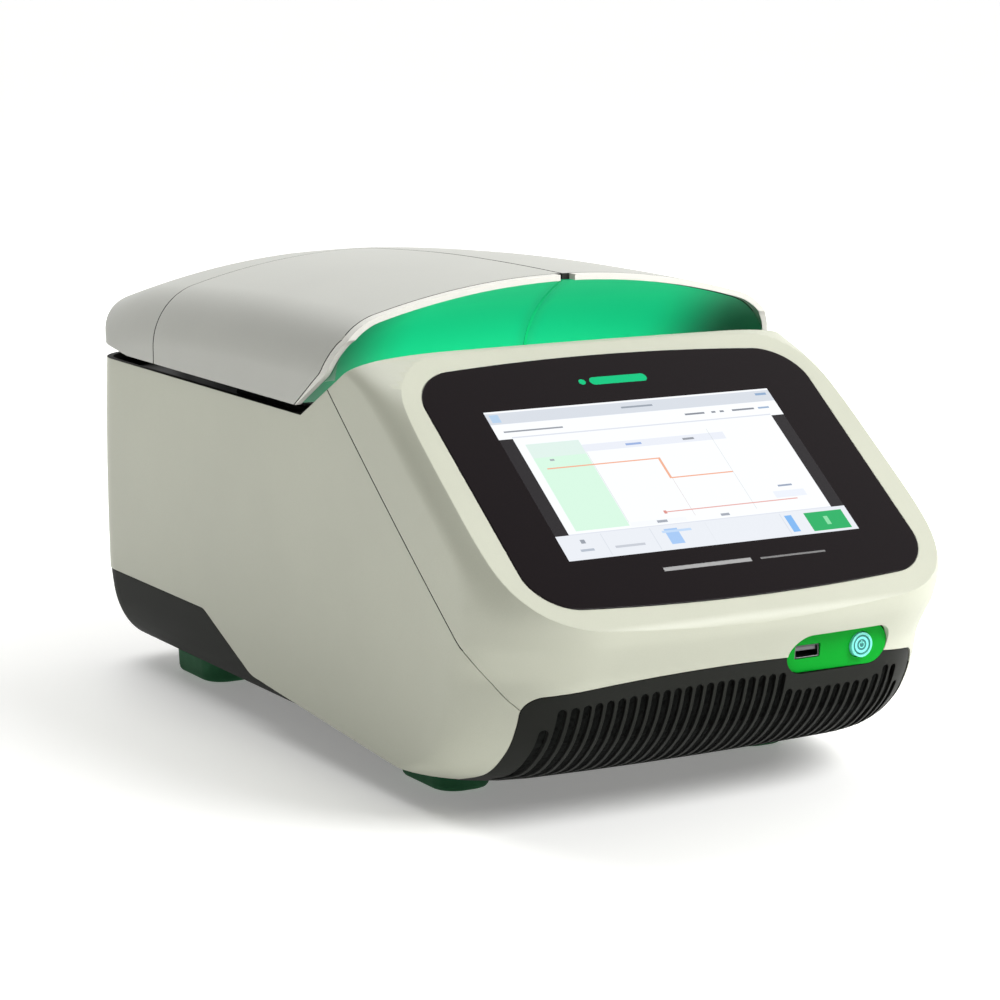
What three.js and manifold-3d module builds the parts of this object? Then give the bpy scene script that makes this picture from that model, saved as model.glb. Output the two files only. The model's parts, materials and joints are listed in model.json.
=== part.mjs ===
// Bench-top thermal cycler with two sample blocks, each under its own half lid.
// Millimetres. X to the right, Y to the back, Z up. The origin is on the bench
// under the middle of the machine.
import * as THREE from 'three';
import { mergeVertices } from 'three/addons/utils/BufferGeometryUtils.js';
import Module from 'manifold-3d';

const wasm = await Module();
wasm.setup();

// ---------------------------------------------------------------- driving dimensions
const GAP = 0.3;                 // clearance between fitted pieces
const WALL = 3.2;                // moulded wall of the housing
const HALF_WIDTH = 122.2;        // widest half width of the casing
const BARREL = 2.6;              // how much narrower the casing is at its top and bottom
const REAR_Y = 230;              // rear face
const NOSE_Y = -230;             // foremost point, where the chin meets the display slope
const RIM_Z = 165;               // rim that the lids close over
const FRONT_CORNER = 45;         // plan radius of the two front corners
const REAR_CORNER = 28;          // plan radius of the two rear corners
const FRONT_BOW = 900;           // plan radius of the gently bowed front
const FLOOR_Z = 12;              // underside of the base tray
const FAR = 320;                 // reach of cutting tools past the machine

// sloping display face
const SLOPE_ANGLE = THREE.MathUtils.degToRad(36);
const DISPLAY_CENTRE = new THREE.Vector3(0, -156.8, 147.8);
const DISPLAY_SIZE = [154, 93.5];
const GLASS_HALF = [104, 78];
const GLASS_CORNER = 21;
const GLASS_BOW = 950;
const GLASS_THICK = 2;
const RIDGE = [-84.6, 200.2];    // y, z of the console's top edge
const NOTCH = [-23, RIM_Z];      // y, z where the console's back meets the rim

// chin grille
const GRILLE_HALF = 104;
const GRILLE_TOP = 71;
const GRILLE_BOW = 752;
const SLOT_COUNT = 35;
const SLOT_PITCH = 5.5;
const SLOT_WIDTH = 3.9;
const SLOT_FOOT = 16.5;
const GRILLE_FOOT = 14.2;
const GRILLE_SINK = 0.5;         // how far the grille's face lies behind the casing's
const GRILLE_WALL = 1.9;
const SCREEN_WALL = 1.4;         // dust screen behind the grille

// control pod on the chin
const POD_X = 51.3;
const POD_Z = 71.4;
const POD_SIZE = [56.5, 19.5];
const POD_FACE = [[-211.6, 58], [-215.8, 86]];   // y, z of its face, which leans slightly forward
const POD_BACK_Y = -204.5;
const BUTTON_X = 65;
const USB_X = 36;
const CONTROL_Z = 71.6;

// lids
const LID_GAP = 0.5;             // half the gap between the two lids
const LID_HALF_WIDTH = 122.4;
const LID_BOTTOM = 169.5;
const LID_WALL = 2.8;
const CROWN_RADIUS = 360;
const SHOULDER_RADIUS = 32;
const COWL_SEAM_Y = 144;
const LID_REAR_Y = 228;
const HINGE_Y = 218;
const HINGE_Z = 178;
const BAND_WIDTH = 6.2;          // trim band along the lip
const LID_SEAM = 0.6;            // dark joint between the pieces of a lid

// sample blocks
const BLOCK_X = 59;
const BLOCK_Y = 62;
const BLOCK_SIZE = [62, 82];
const BLOCK_TOP = 161.5;
const WELL_COLUMNS = 6;
const WELL_ROWS = 8;
const WELL_PITCH = 9;
const WELL_RADIUS = 2.75;
const DECK_Z = 157;
const FAN_SIZE = 84;
const FAN_Y = -62;
const FAN_Z = 92;

// ---------------------------------------------------------------- shape helpers
const X = new THREE.Vector3(1, 0, 0);
const Y = new THREE.Vector3(0, 1, 0);
const Z = new THREE.Vector3(0, 0, 1);
const TURN = {
  x: new THREE.Matrix4().makeBasis(Y, Z, X),
  y: new THREE.Matrix4().makeBasis(X, Z, Y.clone().negate()),
  z: new THREE.Matrix4(),
};

// A closed geometry as a solid that can be joined and cut.
function solid(geometry) {
  const bare = geometry.index ? geometry.clone() : geometry;
  bare.deleteAttribute('normal');
  bare.deleteAttribute('uv');
  const merged = mergeVertices(bare, 1e-4);
  return new wasm.Manifold(new wasm.Mesh({
    numProp: 3,
    vertProperties: new Float32Array(merged.attributes.position.array),
    triVerts: new Uint32Array(merged.index.array),
  }));
}

function geometryOf(manifold) {
  const mesh = manifold.getMesh();
  const geometry = new THREE.BufferGeometry();
  geometry.setAttribute('position', new THREE.Float32BufferAttribute(mesh.vertProperties, 3));
  geometry.setIndex(new THREE.Uint32BufferAttribute(mesh.triVerts, 1));
  return geometry;
}

const join = (...solids) => solids.reduce((whole, next) => whole.add(next));
const cut = (whole, ...tools) => tools.reduce((rest, tool) => rest.subtract(tool), whole);
const overlap = (...solids) => solids.reduce((whole, next) => whole.intersect(next));

// A closed outline whose corners [a, b, radius] are rounded with arcs.
function filleted(corners, segments = 4) {
  const count = corners.length;
  return corners.flatMap(([a, b, radius = 0], i) => {
    const here = new THREE.Vector2(a, b);
    if (!radius) return [here];
    const toPrevious = new THREE.Vector2(...corners[(i + count - 1) % count]).sub(here).normalize();
    const toNext = new THREE.Vector2(...corners[(i + 1) % count]).sub(here).normalize();
    const half = Math.acos(toPrevious.dot(toNext)) / 2;
    const bisector = toPrevious.clone().add(toNext).normalize();
    const centre = here.clone().addScaledVector(bisector, radius / Math.sin(half));
    const reach = radius / Math.tan(half);
    const start = toPrevious.multiplyScalar(reach).add(here).sub(centre);
    const end = toNext.multiplyScalar(reach).add(here).sub(centre);
    const turn = Math.atan2(start.cross(end), start.dot(end));
    return steps(segments + 1, (k) => start.clone()
      .rotateAround(new THREE.Vector2(), turn * k / segments).add(centre));
  });
}

// A rectangle with rounded corners, as an outline.
const roundedRect = (width, height, radius, segments = 4, cx = 0, cy = 0) => filleted([
  [cx - width / 2, cy - height / 2, radius], [cx + width / 2, cy - height / 2, radius],
  [cx + width / 2, cy + height / 2, radius], [cx - width / 2, cy + height / 2, radius],
], segments);

// One item for each step, counted from 0.
const steps = (count, make) => Array.from({ length: count }, (_, k) => make(k));

const circle = (radius, segments, cx = 0, cy = 0) => steps(segments, (k) => {
  const angle = 2 * Math.PI * (k + 0.5) / segments;
  return new THREE.Vector2(cx + radius * Math.cos(angle), cy + radius * Math.sin(angle));
});

// An outline with its own corner radius at the front and the back, whose front
// and back edges can bow outwards to a large plan radius.
function bowedOutline({
  halfWidth, front, rear, frontCorner, rearCorner, frontBow, rearBow, segments = 5,
}) {
  const outline = [];
  const corners = [[1, front, frontCorner, 1], [1, rear, rearCorner, -1],
    [-1, rear, rearCorner, -1], [-1, front, frontCorner, 1]];
  corners.forEach(([side, edge, radius, inward], i) => {
    for (let k = 0; k <= segments; k += 1) {
      const angle = (i - 1 + k / segments) * Math.PI / 2;
      outline.push(new THREE.Vector2(
        side * (halfWidth - radius) + radius * Math.cos(angle),
        edge + inward * radius + radius * Math.sin(angle),
      ));
    }
    if (i % 2 === 0) return;
    for (let k = 1; k < segments; k += 1) {
      const x = side * (halfWidth - radius) * (1 - 2 * k / segments);
      outline.push(new THREE.Vector2(x, edge));
    }
  });
  const middle = (front + rear) / 2;
  outline.forEach((p) => {
    const bow = p.y < middle ? frontBow : -rearBow;
    if (Number.isFinite(bow)) p.y += p.x * p.x / (2 * bow);
  });
  return outline;
}

// An outline carried along an axis: (a, b) is (y, z), (x, z) or (x, y).
function prism(axis, outline, from, to) {
  const depth = to - from;
  const geometry = new THREE.ExtrudeGeometry(new THREE.Shape(outline), { depth, bevelEnabled: false, steps: 1 });
  geometry.applyMatrix4(TURN[axis]);
  const start = { x: [from, 0, 0], y: [0, to, 0], z: [0, 0, from] };
  geometry.translate(...start[axis]);
  return solid(geometry);
}

function box(x0, x1, y0, y1, z0, z1) {
  const geometry = new THREE.BoxGeometry(x1 - x0, y1 - y0, z1 - z0);
  geometry.translate((x0 + x1) / 2, (y0 + y1) / 2, (z0 + z1) / 2);
  return solid(geometry);
}

const rod = (axis, a, b, radius, from, to, segments = 20) => prism(axis, circle(radius, segments, a, b), from, to);

// A solid skinned over closed rings that have the same number of points. The
// rings turn counter-clockwise seen from the end that they climb towards.
const FLATTEN = {
  x: (p) => new THREE.Vector2(p.y, p.z),
  y: (p) => new THREE.Vector2(p.z, p.x),
  z: (p) => new THREE.Vector2(p.x, p.y),
};
function loft(rings, axis = 'z') {
  const count = rings[0].length;
  const positions = rings.flat().flatMap((p) => p.toArray());
  const index = [];
  for (let i = 0; i + 1 < rings.length; i += 1) {
    for (let j = 0; j < count; j += 1) {
      const a = i * count + j;
      const b = i * count + (j + 1) % count;
      index.push(a, b, b + count, a, b + count, a + count);
    }
  }
  const top = (rings.length - 1) * count;
  const flat = rings[0].map((p) => FLATTEN[axis](p));
  THREE.ShapeUtils.triangulateShape(flat, []).forEach(([a, b, c]) => {
    index.push(a, c, b, top + a, top + b, top + c);
  });
  const geometry = new THREE.BufferGeometry();
  geometry.setAttribute('position', new THREE.Float32BufferAttribute(positions, 3));
  geometry.setIndex(index);
  return solid(geometry);
}

// A solid in the frame of the sloping display face: u across, v up the slope, n out of it.
const SLOPE = new THREE.Matrix4().makeRotationX(SLOPE_ANGLE).setPosition(DISPLAY_CENTRE);
function slopePrism(outline, from, to) {
  const depth = to - from;
  const geometry = new THREE.ExtrudeGeometry(new THREE.Shape(outline), { depth, bevelEnabled: false, steps: 1 });
  geometry.translate(0, 0, from);
  geometry.applyMatrix4(SLOPE);
  return solid(geometry);
}

function mirrored(manifold) {
  const geometry = geometryOf(manifold);
  geometry.scale(-1, 1, 1);
  const corners = geometry.index.array;
  for (let i = 0; i < corners.length; i += 3) {
    [corners[i], corners[i + 1]] = [corners[i + 1], corners[i]];
  }
  return solid(geometry);
}

// ---------------------------------------------------------------- casing form
// The middle line of the soft front: chin, nose, and the swell ahead of the display slope.
const FRONT_LINE = new THREE.SplineCurve([
  [-150, 10], [-158, 14], [-186, 23.5], [-203, 37], [-211.5, 50], [-215.5, 62], [-217.5, 71], [-222.5, 79.5],
  [-229, 90], [-232, 105], [-222, 121.4], [-187.7, 147.8], [-142.8, 178.9], [-109, 193.1], [-92, 197.7], [-60, 203],
].map(([y, z]) => new THREE.Vector2(y, z)));
const FRONT_STEPS = 22;
const CAVITY_STEPS = 12;
const GRILLE_STEPS = 9;
const halfWidthAt = (z) => HALF_WIDTH - BARREL * ((z - 100) / 95) ** 2;

function casingRing(front, z, inset) {
  return bowedOutline({
    halfWidth: halfWidthAt(z) - inset,
    front: front + inset,
    rear: REAR_Y - inset,
    frontCorner: FRONT_CORNER - inset,
    rearCorner: REAR_CORNER - inset,
    frontBow: FRONT_BOW,
    rearBow: Infinity,
  }).map((p) => new THREE.Vector3(p.x, p.y, z));
}

const softCasing = (inset, stepCount = FRONT_STEPS) => loft(
  FRONT_LINE.getPoints(stepCount).map((p) => casingRing(p.x, p.y, inset)),
);

// The side profile that cuts the soft form: display slope, ridge, console back and rim.
const slopeZ = (y) => DISPLAY_CENTRE.z + Math.tan(SLOPE_ANGLE) * (y - DISPLAY_CENTRE.y);
const backSlope = (RIDGE[1] - NOTCH[1]) / (NOTCH[0] - RIDGE[0]);
const backZ = (y) => NOTCH[1] - backSlope * (y - NOTCH[0]);
const NOSE_RADIUS = 9;
const casingSide = prism('x', filleted([
  [NOSE_Y, 0], [240, 0], [240, RIM_Z], [...NOTCH, 1.5], [...RIDGE, 3], [NOSE_Y, slopeZ(NOSE_Y), NOSE_RADIUS],
]), -FAR, FAR);

const SLOPE_WALL = 4;
const DECK_FRONT_Y = -19;
const innerSlopeZ = (y) => slopeZ(y) - SLOPE_WALL / Math.cos(SLOPE_ANGLE);
const innerBackZ = (y) => backZ(y) - WALL * Math.hypot(1, backSlope);
const cavitySide = prism('x', filleted([
  [-250, 0], [240, 0], [240, 260], [DECK_FRONT_Y, 260], [DECK_FRONT_Y, innerBackZ(DECK_FRONT_Y)],
  [RIDGE[0], innerSlopeZ(RIDGE[0])], [-250, innerSlopeZ(-250)],
]), -FAR, FAR);

const casing = overlap(softCasing(0), casingSide);
const cavity = overlap(softCasing(WALL, CAVITY_STEPS), cavitySide);
const shell = cut(casing, cavity);

// Seam between the fascia and the housing, seen from the side.
const fasciaRegion = (shift) => prism('x', filleted([
  [-40, 187.7 + shift], [-184, 79.5 + shift, 40], [-201, 56 + shift], [-260, 56 + shift], [-260, 260], [-40, 260],
]), -FAR, FAR);

// Lower edge of the housing, seen from the side: high over the rear of the tray,
// down an S bend, then low towards the chin.
const housingRegion = (shift) => prism('x', filleted([
  [250, 51.5 + shift], [250, 300], [-250, 300], [-250, 12.5 + shift], [-118, 16 + shift, 20], [4, 25.2 + shift, 40],
  [36, 27.8 + shift, 26], [89, 51.5 + shift, 14],
], 3), -FAR, FAR);

// The chin opening that the grille fills, seen from the front.
function grilleOutline(inset) {
  const half = GRILLE_HALF - inset;
  const top = (x) => GRILLE_TOP - inset - x * x / (2 * GRILLE_BOW);
  const xs = [0.82, 0.5, 0.17, -0.17, -0.5, -0.82].map((k) => k * half);
  return filleted([
    [-half, GRILLE_FOOT], [half, GRILLE_FOOT], [half, top(half), 9], ...xs.map((x) => [x, top(x)]), [-half, top(half), 9],
  ]);
}

// The control pod is a stadium that overlaps the top edge of the grille.
const podOutline = (inset) => roundedRect(POD_SIZE[0] - 2 * inset, POD_SIZE[1] - 2 * inset,
  (POD_SIZE[1] - 2 * inset) / 2 - 0.01, 6, POD_X, POD_Z);
const grilleCutter = (inset) => prism('y', grilleOutline(inset), -250, -120);

// ---------------------------------------------------------------- casing pieces
const podPocket = prism('y', podOutline(0), -260, -204);
const WINDOW_HALF = [83, 53];

function makeFascia() {
  const region = overlap(shell, fasciaRegion(GAP / 2));
  const glassRecess = slopePrism(glassOutline(-GAP), -GLASS_THICK - 0.1, 20);
  const window = slopePrism(roundedRect(2 * WINDOW_HALF[0], 2 * WINDOW_HALF[1], 4), -30, 20);
  return cut(region, glassRecess, window, grilleCutter(-GAP), podPocket);
}

const glassOutline = (inset) => bowedOutline({
  halfWidth: GLASS_HALF[0] - inset,
  front: -GLASS_HALF[1] + inset,
  rear: GLASS_HALF[1] - inset,
  frontCorner: GLASS_CORNER - inset,
  rearCorner: GLASS_CORNER - inset,
  frontBow: GLASS_BOW,
  rearBow: GLASS_BOW,
});

const REAR_WINDOW = { halfWidth: 88, low: 62, high: 148 };

function makeHousing() {
  const region = overlap(cut(shell, fasciaRegion(-GAP / 2)), housingRegion(0));
  const { halfWidth, low, high } = REAR_WINDOW;
  const rearWindow = box(-halfWidth, halfWidth, 215, 240, low, high);
  return cut(region, grilleCutter(-GAP), podPocket, rearWindow);
}

// The tray's edge rolls under, so its rings shrink towards the floor.
const TRAY_ROLL = [[FLOOR_Z, 24], [13.4, 18.5], [16.5, 13], [21, 8.5], [28, 4.6], [38, 1.8], [53, 0.3]];

function makeBaseTray() {
  const rings = (inset, floor) => loft([
    ...TRAY_ROLL.map(([z, roll]) => casingRing(-163, z + floor - FLOOR_Z, roll + inset)),
    casingRing(-163, 60, 0.3 + inset),
  ]);
  const skin = cut(rings(0, FLOOR_Z), rings(WALL, FLOOR_Z + 3));
  const below = cut(skin, housingRegion(-GAP));
  const vents = [-1, 1].flatMap((side) => steps(6, (k) => (
    box(side * 50 - 30, side * 50 + 30, -40 + 12 * k, -35 + 12 * k, 5, 20))));
  return cut(below, ...vents);
}

function makeGrille() {
  const skin = cut(softCasing(GRILLE_SINK, GRILLE_STEPS), softCasing(GRILLE_SINK + GRILLE_WALL, GRILLE_STEPS));
  const body = overlap(skin, grilleCutter(GAP / 2));
  const slots = steps(SLOT_COUNT, (k) => {
    const x = (k - (SLOT_COUNT - 1) / 2) * SLOT_PITCH;
    const nearPod = Math.abs(x - POD_X) < POD_SIZE[0] / 2 + 1;
    const atEnd = Math.abs(x) > 90;
    const rim = GRILLE_TOP - x * x / (2 * GRILLE_BOW) - 7;
    const podRim = POD_Z - POD_SIZE[1] / 2 - 7.5
      + 0.03 * Math.max(0, Math.abs(x - POD_X) - 18) ** 2;
    let top = rim;
    if (nearPod) top = Math.min(rim, podRim);
    if (atEnd) top = rim - 9;
    return box(x - SLOT_WIDTH / 2, x + SLOT_WIDTH / 2, -240, -130, SLOT_FOOT, top);
  });
  return cut(body, podPocket, ...slots);
}

// A foam sheet that follows the back of the grille and stops short of the pod.
function makeIntakeScreen() {
  const front = GRILLE_SINK + GRILLE_WALL + 0.4;
  const sheet = cut(softCasing(front, GRILLE_STEPS), softCasing(front + SCREEN_WALL, GRILLE_STEPS));
  const behindPod = prism('y', podOutline(-1.5), -250, -150);
  return cut(overlap(sheet, prism('y', grilleOutline(2.5), -250, -150)), behindPod);
}

function makePortPod() {
  const [[, low], [, high]] = POD_FACE;
  const lean = filleted([POD_FACE[0], [POD_BACK_Y, low], [POD_BACK_Y, high], POD_FACE[1]]);
  const plate = overlap(prism('y', podOutline(GAP), -225, POD_BACK_Y), prism('x', lean, 0, FAR));
  const usbHole = box(USB_X - 6.9, USB_X + 6.9, -230, -200, CONTROL_Z - 3.2, CONTROL_Z + 3.2);
  return cut(plate, rod('y', BUTTON_X, CONTROL_Z, 6.1, -230, -200, 24), usbHole);
}

// A USB-A can with its tongue; inward is +1 where it goes into the machine along +Y.
function makeUsbSocket(x, z, mouth, inward) {
  const block = (halfWidth, from, to, low, high) => {
    const ends = [mouth + inward * from, mouth + inward * to].sort((a, b) => a - b);
    return box(x - halfWidth, x + halfWidth, ...ends, z + low, z + high);
  };
  const can = cut(block(6.55, 0, 14, -2.85, 2.85), block(6.1, -1, 12.5, -2.4, 2.4));
  return join(can, block(5.6, 1.2, 13, 0.2, 2));
}

const makePowerRing = () => cut(
  rod('y', BUTTON_X, CONTROL_Z, 5.7, -215.1, -206, 24),
  rod('y', BUTTON_X, CONTROL_Z, 4.6, -216, -205, 24),
);

// The button's cap runs inside the ring; its stem stands behind the pod.
const makePowerButton = () => join(
  rod('y', BUTTON_X, CONTROL_Z, 4.2, -214.9, -207, 20),
  rod('y', BUTTON_X, CONTROL_Z, 1.8, -207.5, -202, 12),
);

const FEET = { front: [82, -92], rear: [84, 156], size: [30, 50], corner: 12.5 };

function makeFoot(x, y) {
  const [width, depth] = FEET.size;
  return loft([[0, 3], [1.2, 1.4], [5, 0.5], [FLOOR_Z - GAP, 0]].map(([z, inset]) => (
    roundedRect(width - 2 * inset, depth - 2 * inset, FEET.corner - inset, 4, x, y)
      .map((p) => new THREE.Vector3(p.x, p.y, z)))));
}

// ---------------------------------------------------------------- display
const makeTouchGlass = () => slopePrism(glassOutline(0), -GLASS_THICK + 0.2, 0.2);

const makeLcdModule = () => join(
  slopePrism(roundedRect(DISPLAY_SIZE[0] + 9, DISPLAY_SIZE[1] + 9, 1), -6.5, -GLASS_THICK),
  slopePrism(roundedRect(90, 60, 2), -9, -6),
);

function makeDisplayFrame() {
  const plate = slopePrism(roundedRect(184, 124, 6), -9.5, -4.6);
  const opening = slopePrism(roundedRect(DISPLAY_SIZE[0] + 10, DISPLAY_SIZE[1] + 10, 1), -12, 0);
  return cut(plate, opening);
}

// ---------------------------------------------------------------- rear panel and sockets
const INLET = { x: -58, z: 84, size: [27, 19.6] };
const SWITCH = { x: -28, z: 84, size: [13, 19] };
const LAN = { x: 30, z: 84 };
const REAR_USB = { x: 58, z: 84 };

function makeRearPanel() {
  const { halfWidth, low, high } = REAR_WINDOW;
  const plate = box(-halfWidth + GAP, halfWidth - GAP, REAR_Y - 3, REAR_Y - 0.4, low + GAP, high - GAP);
  const vents = steps(22, (k) => {
    const x = (k - 10.5) * 7;
    return box(x - 1.8, x + 1.8, 220, 240, 104, 142);
  });
  const frames = [[INLET.x, INLET.z, INLET.size], [SWITCH.x, SWITCH.z, SWITCH.size], [LAN.x, LAN.z, [16, 13.6]],
    [REAR_USB.x, REAR_USB.z, [13.1, 5.7]]].map(([x, z, [width, height]]) => (
    box(x - width / 2 - GAP, x + width / 2 + GAP, 220, 240, z - height / 2 - GAP, z + height / 2 + GAP)));
  return cut(plate, ...vents, ...frames);
}

function makePowerInlet() {
  const { x, z, size } = INLET;
  const body = box(x - size[0] / 2, x + size[0] / 2, 206, REAR_Y - 0.2, z - size[1] / 2, z + size[1] / 2);
  const well = prism('y', filleted([
    [x - 12, z - 8], [x + 12, z - 8], [x + 12, z + 3], [x + 7, z + 8], [x - 7, z + 8], [x - 12, z + 3],
  ]), 211, 240);
  const pin = (dx, dz) => box(x + dx - 1, x + dx + 1, 210, 223, z + dz - 2, z + dz + 2);
  return join(cut(body, well), pin(-7, -1.5), pin(7, -1.5), pin(0, 2));
}

// A frame whose trunnion ribs leave room for the rocker that turns inside it.
function makeSwitchFrame() {
  const { x, z, size } = SWITCH;
  const body = box(x - size[0] / 2, x + size[0] / 2, 208, REAR_Y - 0.2, z - size[1] / 2, z + size[1] / 2);
  return cut(body, box(x - 5, x + 5, 216, 240, z - 8, z + 8));
}

// A rocker that leans by its half angle on either side of the middle.
const ROCKER_ANGLE = 12;
const ROCKER_Y = 225.4;
function makeRocker() {
  const { x, z } = SWITCH;
  const tilt = THREE.MathUtils.degToRad(ROCKER_ANGLE);
  const outline = [[-3, -6.6], [3.2, -6.6], [2.2, 0], [3.2, 6.6], [-3, 6.6], [-4.4, 0]].map(([y, dz]) => (
    new THREE.Vector2(y, dz).rotateAround(new THREE.Vector2(), tilt).add(new THREE.Vector2(ROCKER_Y, z))));
  return prism('x', outline, x - 4.6, x + 4.6);
}

const makeLanSocket = () => cut(
  box(LAN.x - 8, LAN.x + 8, 212, REAR_Y - 0.2, LAN.z - 6.8, LAN.z + 6.8),
  box(LAN.x - 5.9, LAN.x + 5.9, 216, 240, LAN.z - 5.2, LAN.z + 3),
  box(LAN.x - 3, LAN.x + 3, 216, 240, LAN.z + 2.9, LAN.z + 5.4),
);

// ---------------------------------------------------------------- inside the casing
const SINK_FINS = 11;

function makeHeatSink(side) {
  const x = side * BLOCK_X;
  const base = box(x - 36, x + 36, 10, 118, 124, 133);
  const fins = steps(SINK_FINS, (k) => {
    const fx = x - 34 + 68 * k / (SINK_FINS - 1);
    return box(fx - 1.1, fx + 1.1, 10, 118, 78, 125);
  });
  return join(base, ...fins);
}

const makePeltier = (side) => box(side * BLOCK_X - 28, side * BLOCK_X + 28, BLOCK_Y - 38, BLOCK_Y + 38, 133.3, 137.2);

function makeSampleBlock(side) {
  const x = side * BLOCK_X;
  const [width, depth] = BLOCK_SIZE;
  const block = join(
    box(x - width / 2, x + width / 2, BLOCK_Y - depth / 2, BLOCK_Y + depth / 2, 144, BLOCK_TOP),
    box(x - width / 2 - 3, x + width / 2 + 3, BLOCK_Y - depth / 2 - 3, BLOCK_Y + depth / 2 + 3, 137.5, 145),
  );
  const wells = [];
  for (let column = 0; column < WELL_COLUMNS; column += 1) {
    for (let row = 0; row < WELL_ROWS; row += 1) {
      const cone = new THREE.CylinderGeometry(WELL_RADIUS, 1.4, 16, 6);
      cone.rotateX(Math.PI / 2);
      cone.translate(
        x + (column - (WELL_COLUMNS - 1) / 2) * WELL_PITCH,
        BLOCK_Y + (row - (WELL_ROWS - 1) / 2) * WELL_PITCH,
        BLOCK_TOP - 7,
      );
      wells.push(solid(cone));
    }
  }
  return cut(block, ...wells);
}

function makeBlockSeal(side) {
  const x = side * BLOCK_X;
  const [width, depth] = BLOCK_SIZE;
  const outline = (grow, radius) => roundedRect(width + grow, depth + grow, radius, 2, x, BLOCK_Y);
  return cut(
    prism('z', outline(8, 3), DECK_Z + GAP, DECK_Z + 2.6),
    prism('z', outline(1, 0.4), DECK_Z - 2, DECK_Z + 5),
  );
}

const deckOutline = (inset) => bowedOutline({
  halfWidth: halfWidthAt(RIM_Z) - WALL - inset,
  front: DECK_FRONT_Y + inset,
  rear: REAR_Y - WALL - inset,
  frontCorner: 1.5,
  rearCorner: REAR_CORNER - WALL - inset,
  frontBow: Infinity,
  rearBow: Infinity,
});

function makeDeck() {
  const plate = prism('z', deckOutline(GAP + 0.2), DECK_Z - 3, DECK_Z);
  const openings = [-1, 1].map((side) => (
    box(side * BLOCK_X - 32, side * BLOCK_X + 32, BLOCK_Y - 42, BLOCK_Y + 42, DECK_Z - 8, DECK_Z + 4)));
  const skirt = cut(
    prism('z', deckOutline(GAP + 0.2), DECK_Z - 9, DECK_Z - 1),
    prism('z', deckOutline(3), DECK_Z - 12, DECK_Z + 2),
  );
  return cut(join(plate, skirt), ...openings);
}

function makeFanFrame(side) {
  const x = side * BLOCK_X;
  const half = FAN_SIZE / 2;
  const frame = cut(
    prism('y', roundedRect(FAN_SIZE, FAN_SIZE, 5, 2, x, FAN_Z), FAN_Y - 12.5, FAN_Y + 12.5),
    rod('y', x, FAN_Z, half - 3, FAN_Y - 20, FAN_Y + 20, 28),
  );
  const hub = rod('y', x, FAN_Z, 17, FAN_Y + 9.5, FAN_Y + 12.5, 20);
  const strut = box(x - half + 1, x + half - 1, FAN_Y + 10, FAN_Y + 12.5, FAN_Z - 2, FAN_Z + 2);
  const cross = box(x - 2, x + 2, FAN_Y + 10, FAN_Y + 12.5, FAN_Z - half + 1, FAN_Z + half - 1);
  return join(frame, hub, strut, cross);
}

// Hub and seven raked blades, turning about Y.
function makeFanRotor(side) {
  const x = side * BLOCK_X;
  const blades = steps(7, (k) => {
    const blade = new THREE.BoxGeometry(24, 1.6, 17);
    blade.rotateX(THREE.MathUtils.degToRad(52));
    blade.translate(25, 0, 0);
    blade.rotateY(2 * Math.PI * k / 7);
    blade.translate(x, FAN_Y - 1.5, FAN_Z);
    return solid(blade);
  });
  return join(rod('y', x, FAN_Z, 16, FAN_Y - 11, FAN_Y + 8.8, 24), ...blades);
}

function makeFanBulkhead() {
  const y = FAN_Y + 13;
  const plate = box(-108, 108, y, y + 2, 22, 150);
  const holes = [-1, 1].map((side) => rod('y', side * BLOCK_X, FAN_Z, FAN_SIZE / 2 - 4, y - 5, y + 5, 28));
  return cut(plate, ...holes);
}

const makePowerSupply = () => cut(
  box(-98, -8, 22, 186, 19, 60),
  ...steps(7, (k) => box(-90, -16, 40 + 20 * k, 46 + 20 * k, 57, 70)),
  ...steps(7, (k) => box(-92, -84, 40 + 20 * k, 46 + 20 * k, 57, 62)),
);

function makeControlBoard() {
  const board = box(6, 99, 24, 190, 24, 26);
  const chips = [
    [40, 70, 34, 34, 8], [80, 60, 20, 40, 14], [30, 130, 16, 50, 12], [78, 140, 36, 24, 20], [52, 176, 60, 8, 10],
  ];
  const parts = chips.map(([x, y, width, depth, height]) => (
    box(x - width / 2, x + width / 2, y - depth / 2, y + depth / 2, 25.5, 26 + height)));
  const legs = [[12, 30], [91, 30], [12, 184], [91, 184]].map(([x, y]) => rod('z', x, y, 3, 15.4, 25, 10));
  return join(board, ...parts, ...legs);
}

// ---------------------------------------------------------------- hinges on the body
const KNUCKLE_X = 60;
const KNUCKLE_HALF = 11;
const KNUCKLE_RADIUS = 6;
const PIN_RADIUS = 2.5;
const BORE_RADIUS = 2.9;

function makeHingeBracket(side) {
  const cheek = (offset) => {
    const outline = [
      [HINGE_Y - 13, DECK_Z + GAP], [HINGE_Y + 5.5, DECK_Z + GAP],
      ...steps(9, (k) => {
        const angle = -0.2 + (Math.PI + 0.4) * k / 8;
        return [HINGE_Y + KNUCKLE_RADIUS * Math.cos(angle), HINGE_Z + KNUCKLE_RADIUS * Math.sin(angle)];
      }),
    ].map(([y, z]) => new THREE.Vector2(y, z));
    const x = side * (KNUCKLE_X + offset);
    return prism('x', outline, x - 2, x + 2);
  };
  const x = side * KNUCKLE_X;
  const reach = KNUCKLE_HALF + 4.5;
  const foot = box(x - reach, x + reach, HINGE_Y - 13, HINGE_Y + 5.5, DECK_Z + GAP, DECK_Z + 3.5);
  const ears = [-1, 1].map((end) => cheek(end * (KNUCKLE_HALF + 2.5)));
  return cut(join(foot, ...ears), rod('x', HINGE_Y, HINGE_Z, BORE_RADIUS, x - 30, x + 30));
}

function makeHingePin(side) {
  const x = side * KNUCKLE_X;
  return rod('x', HINGE_Y, HINGE_Z, PIN_RADIUS, x - KNUCKLE_HALF - 6, x + KNUCKLE_HALF + 6, 16);
}

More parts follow.
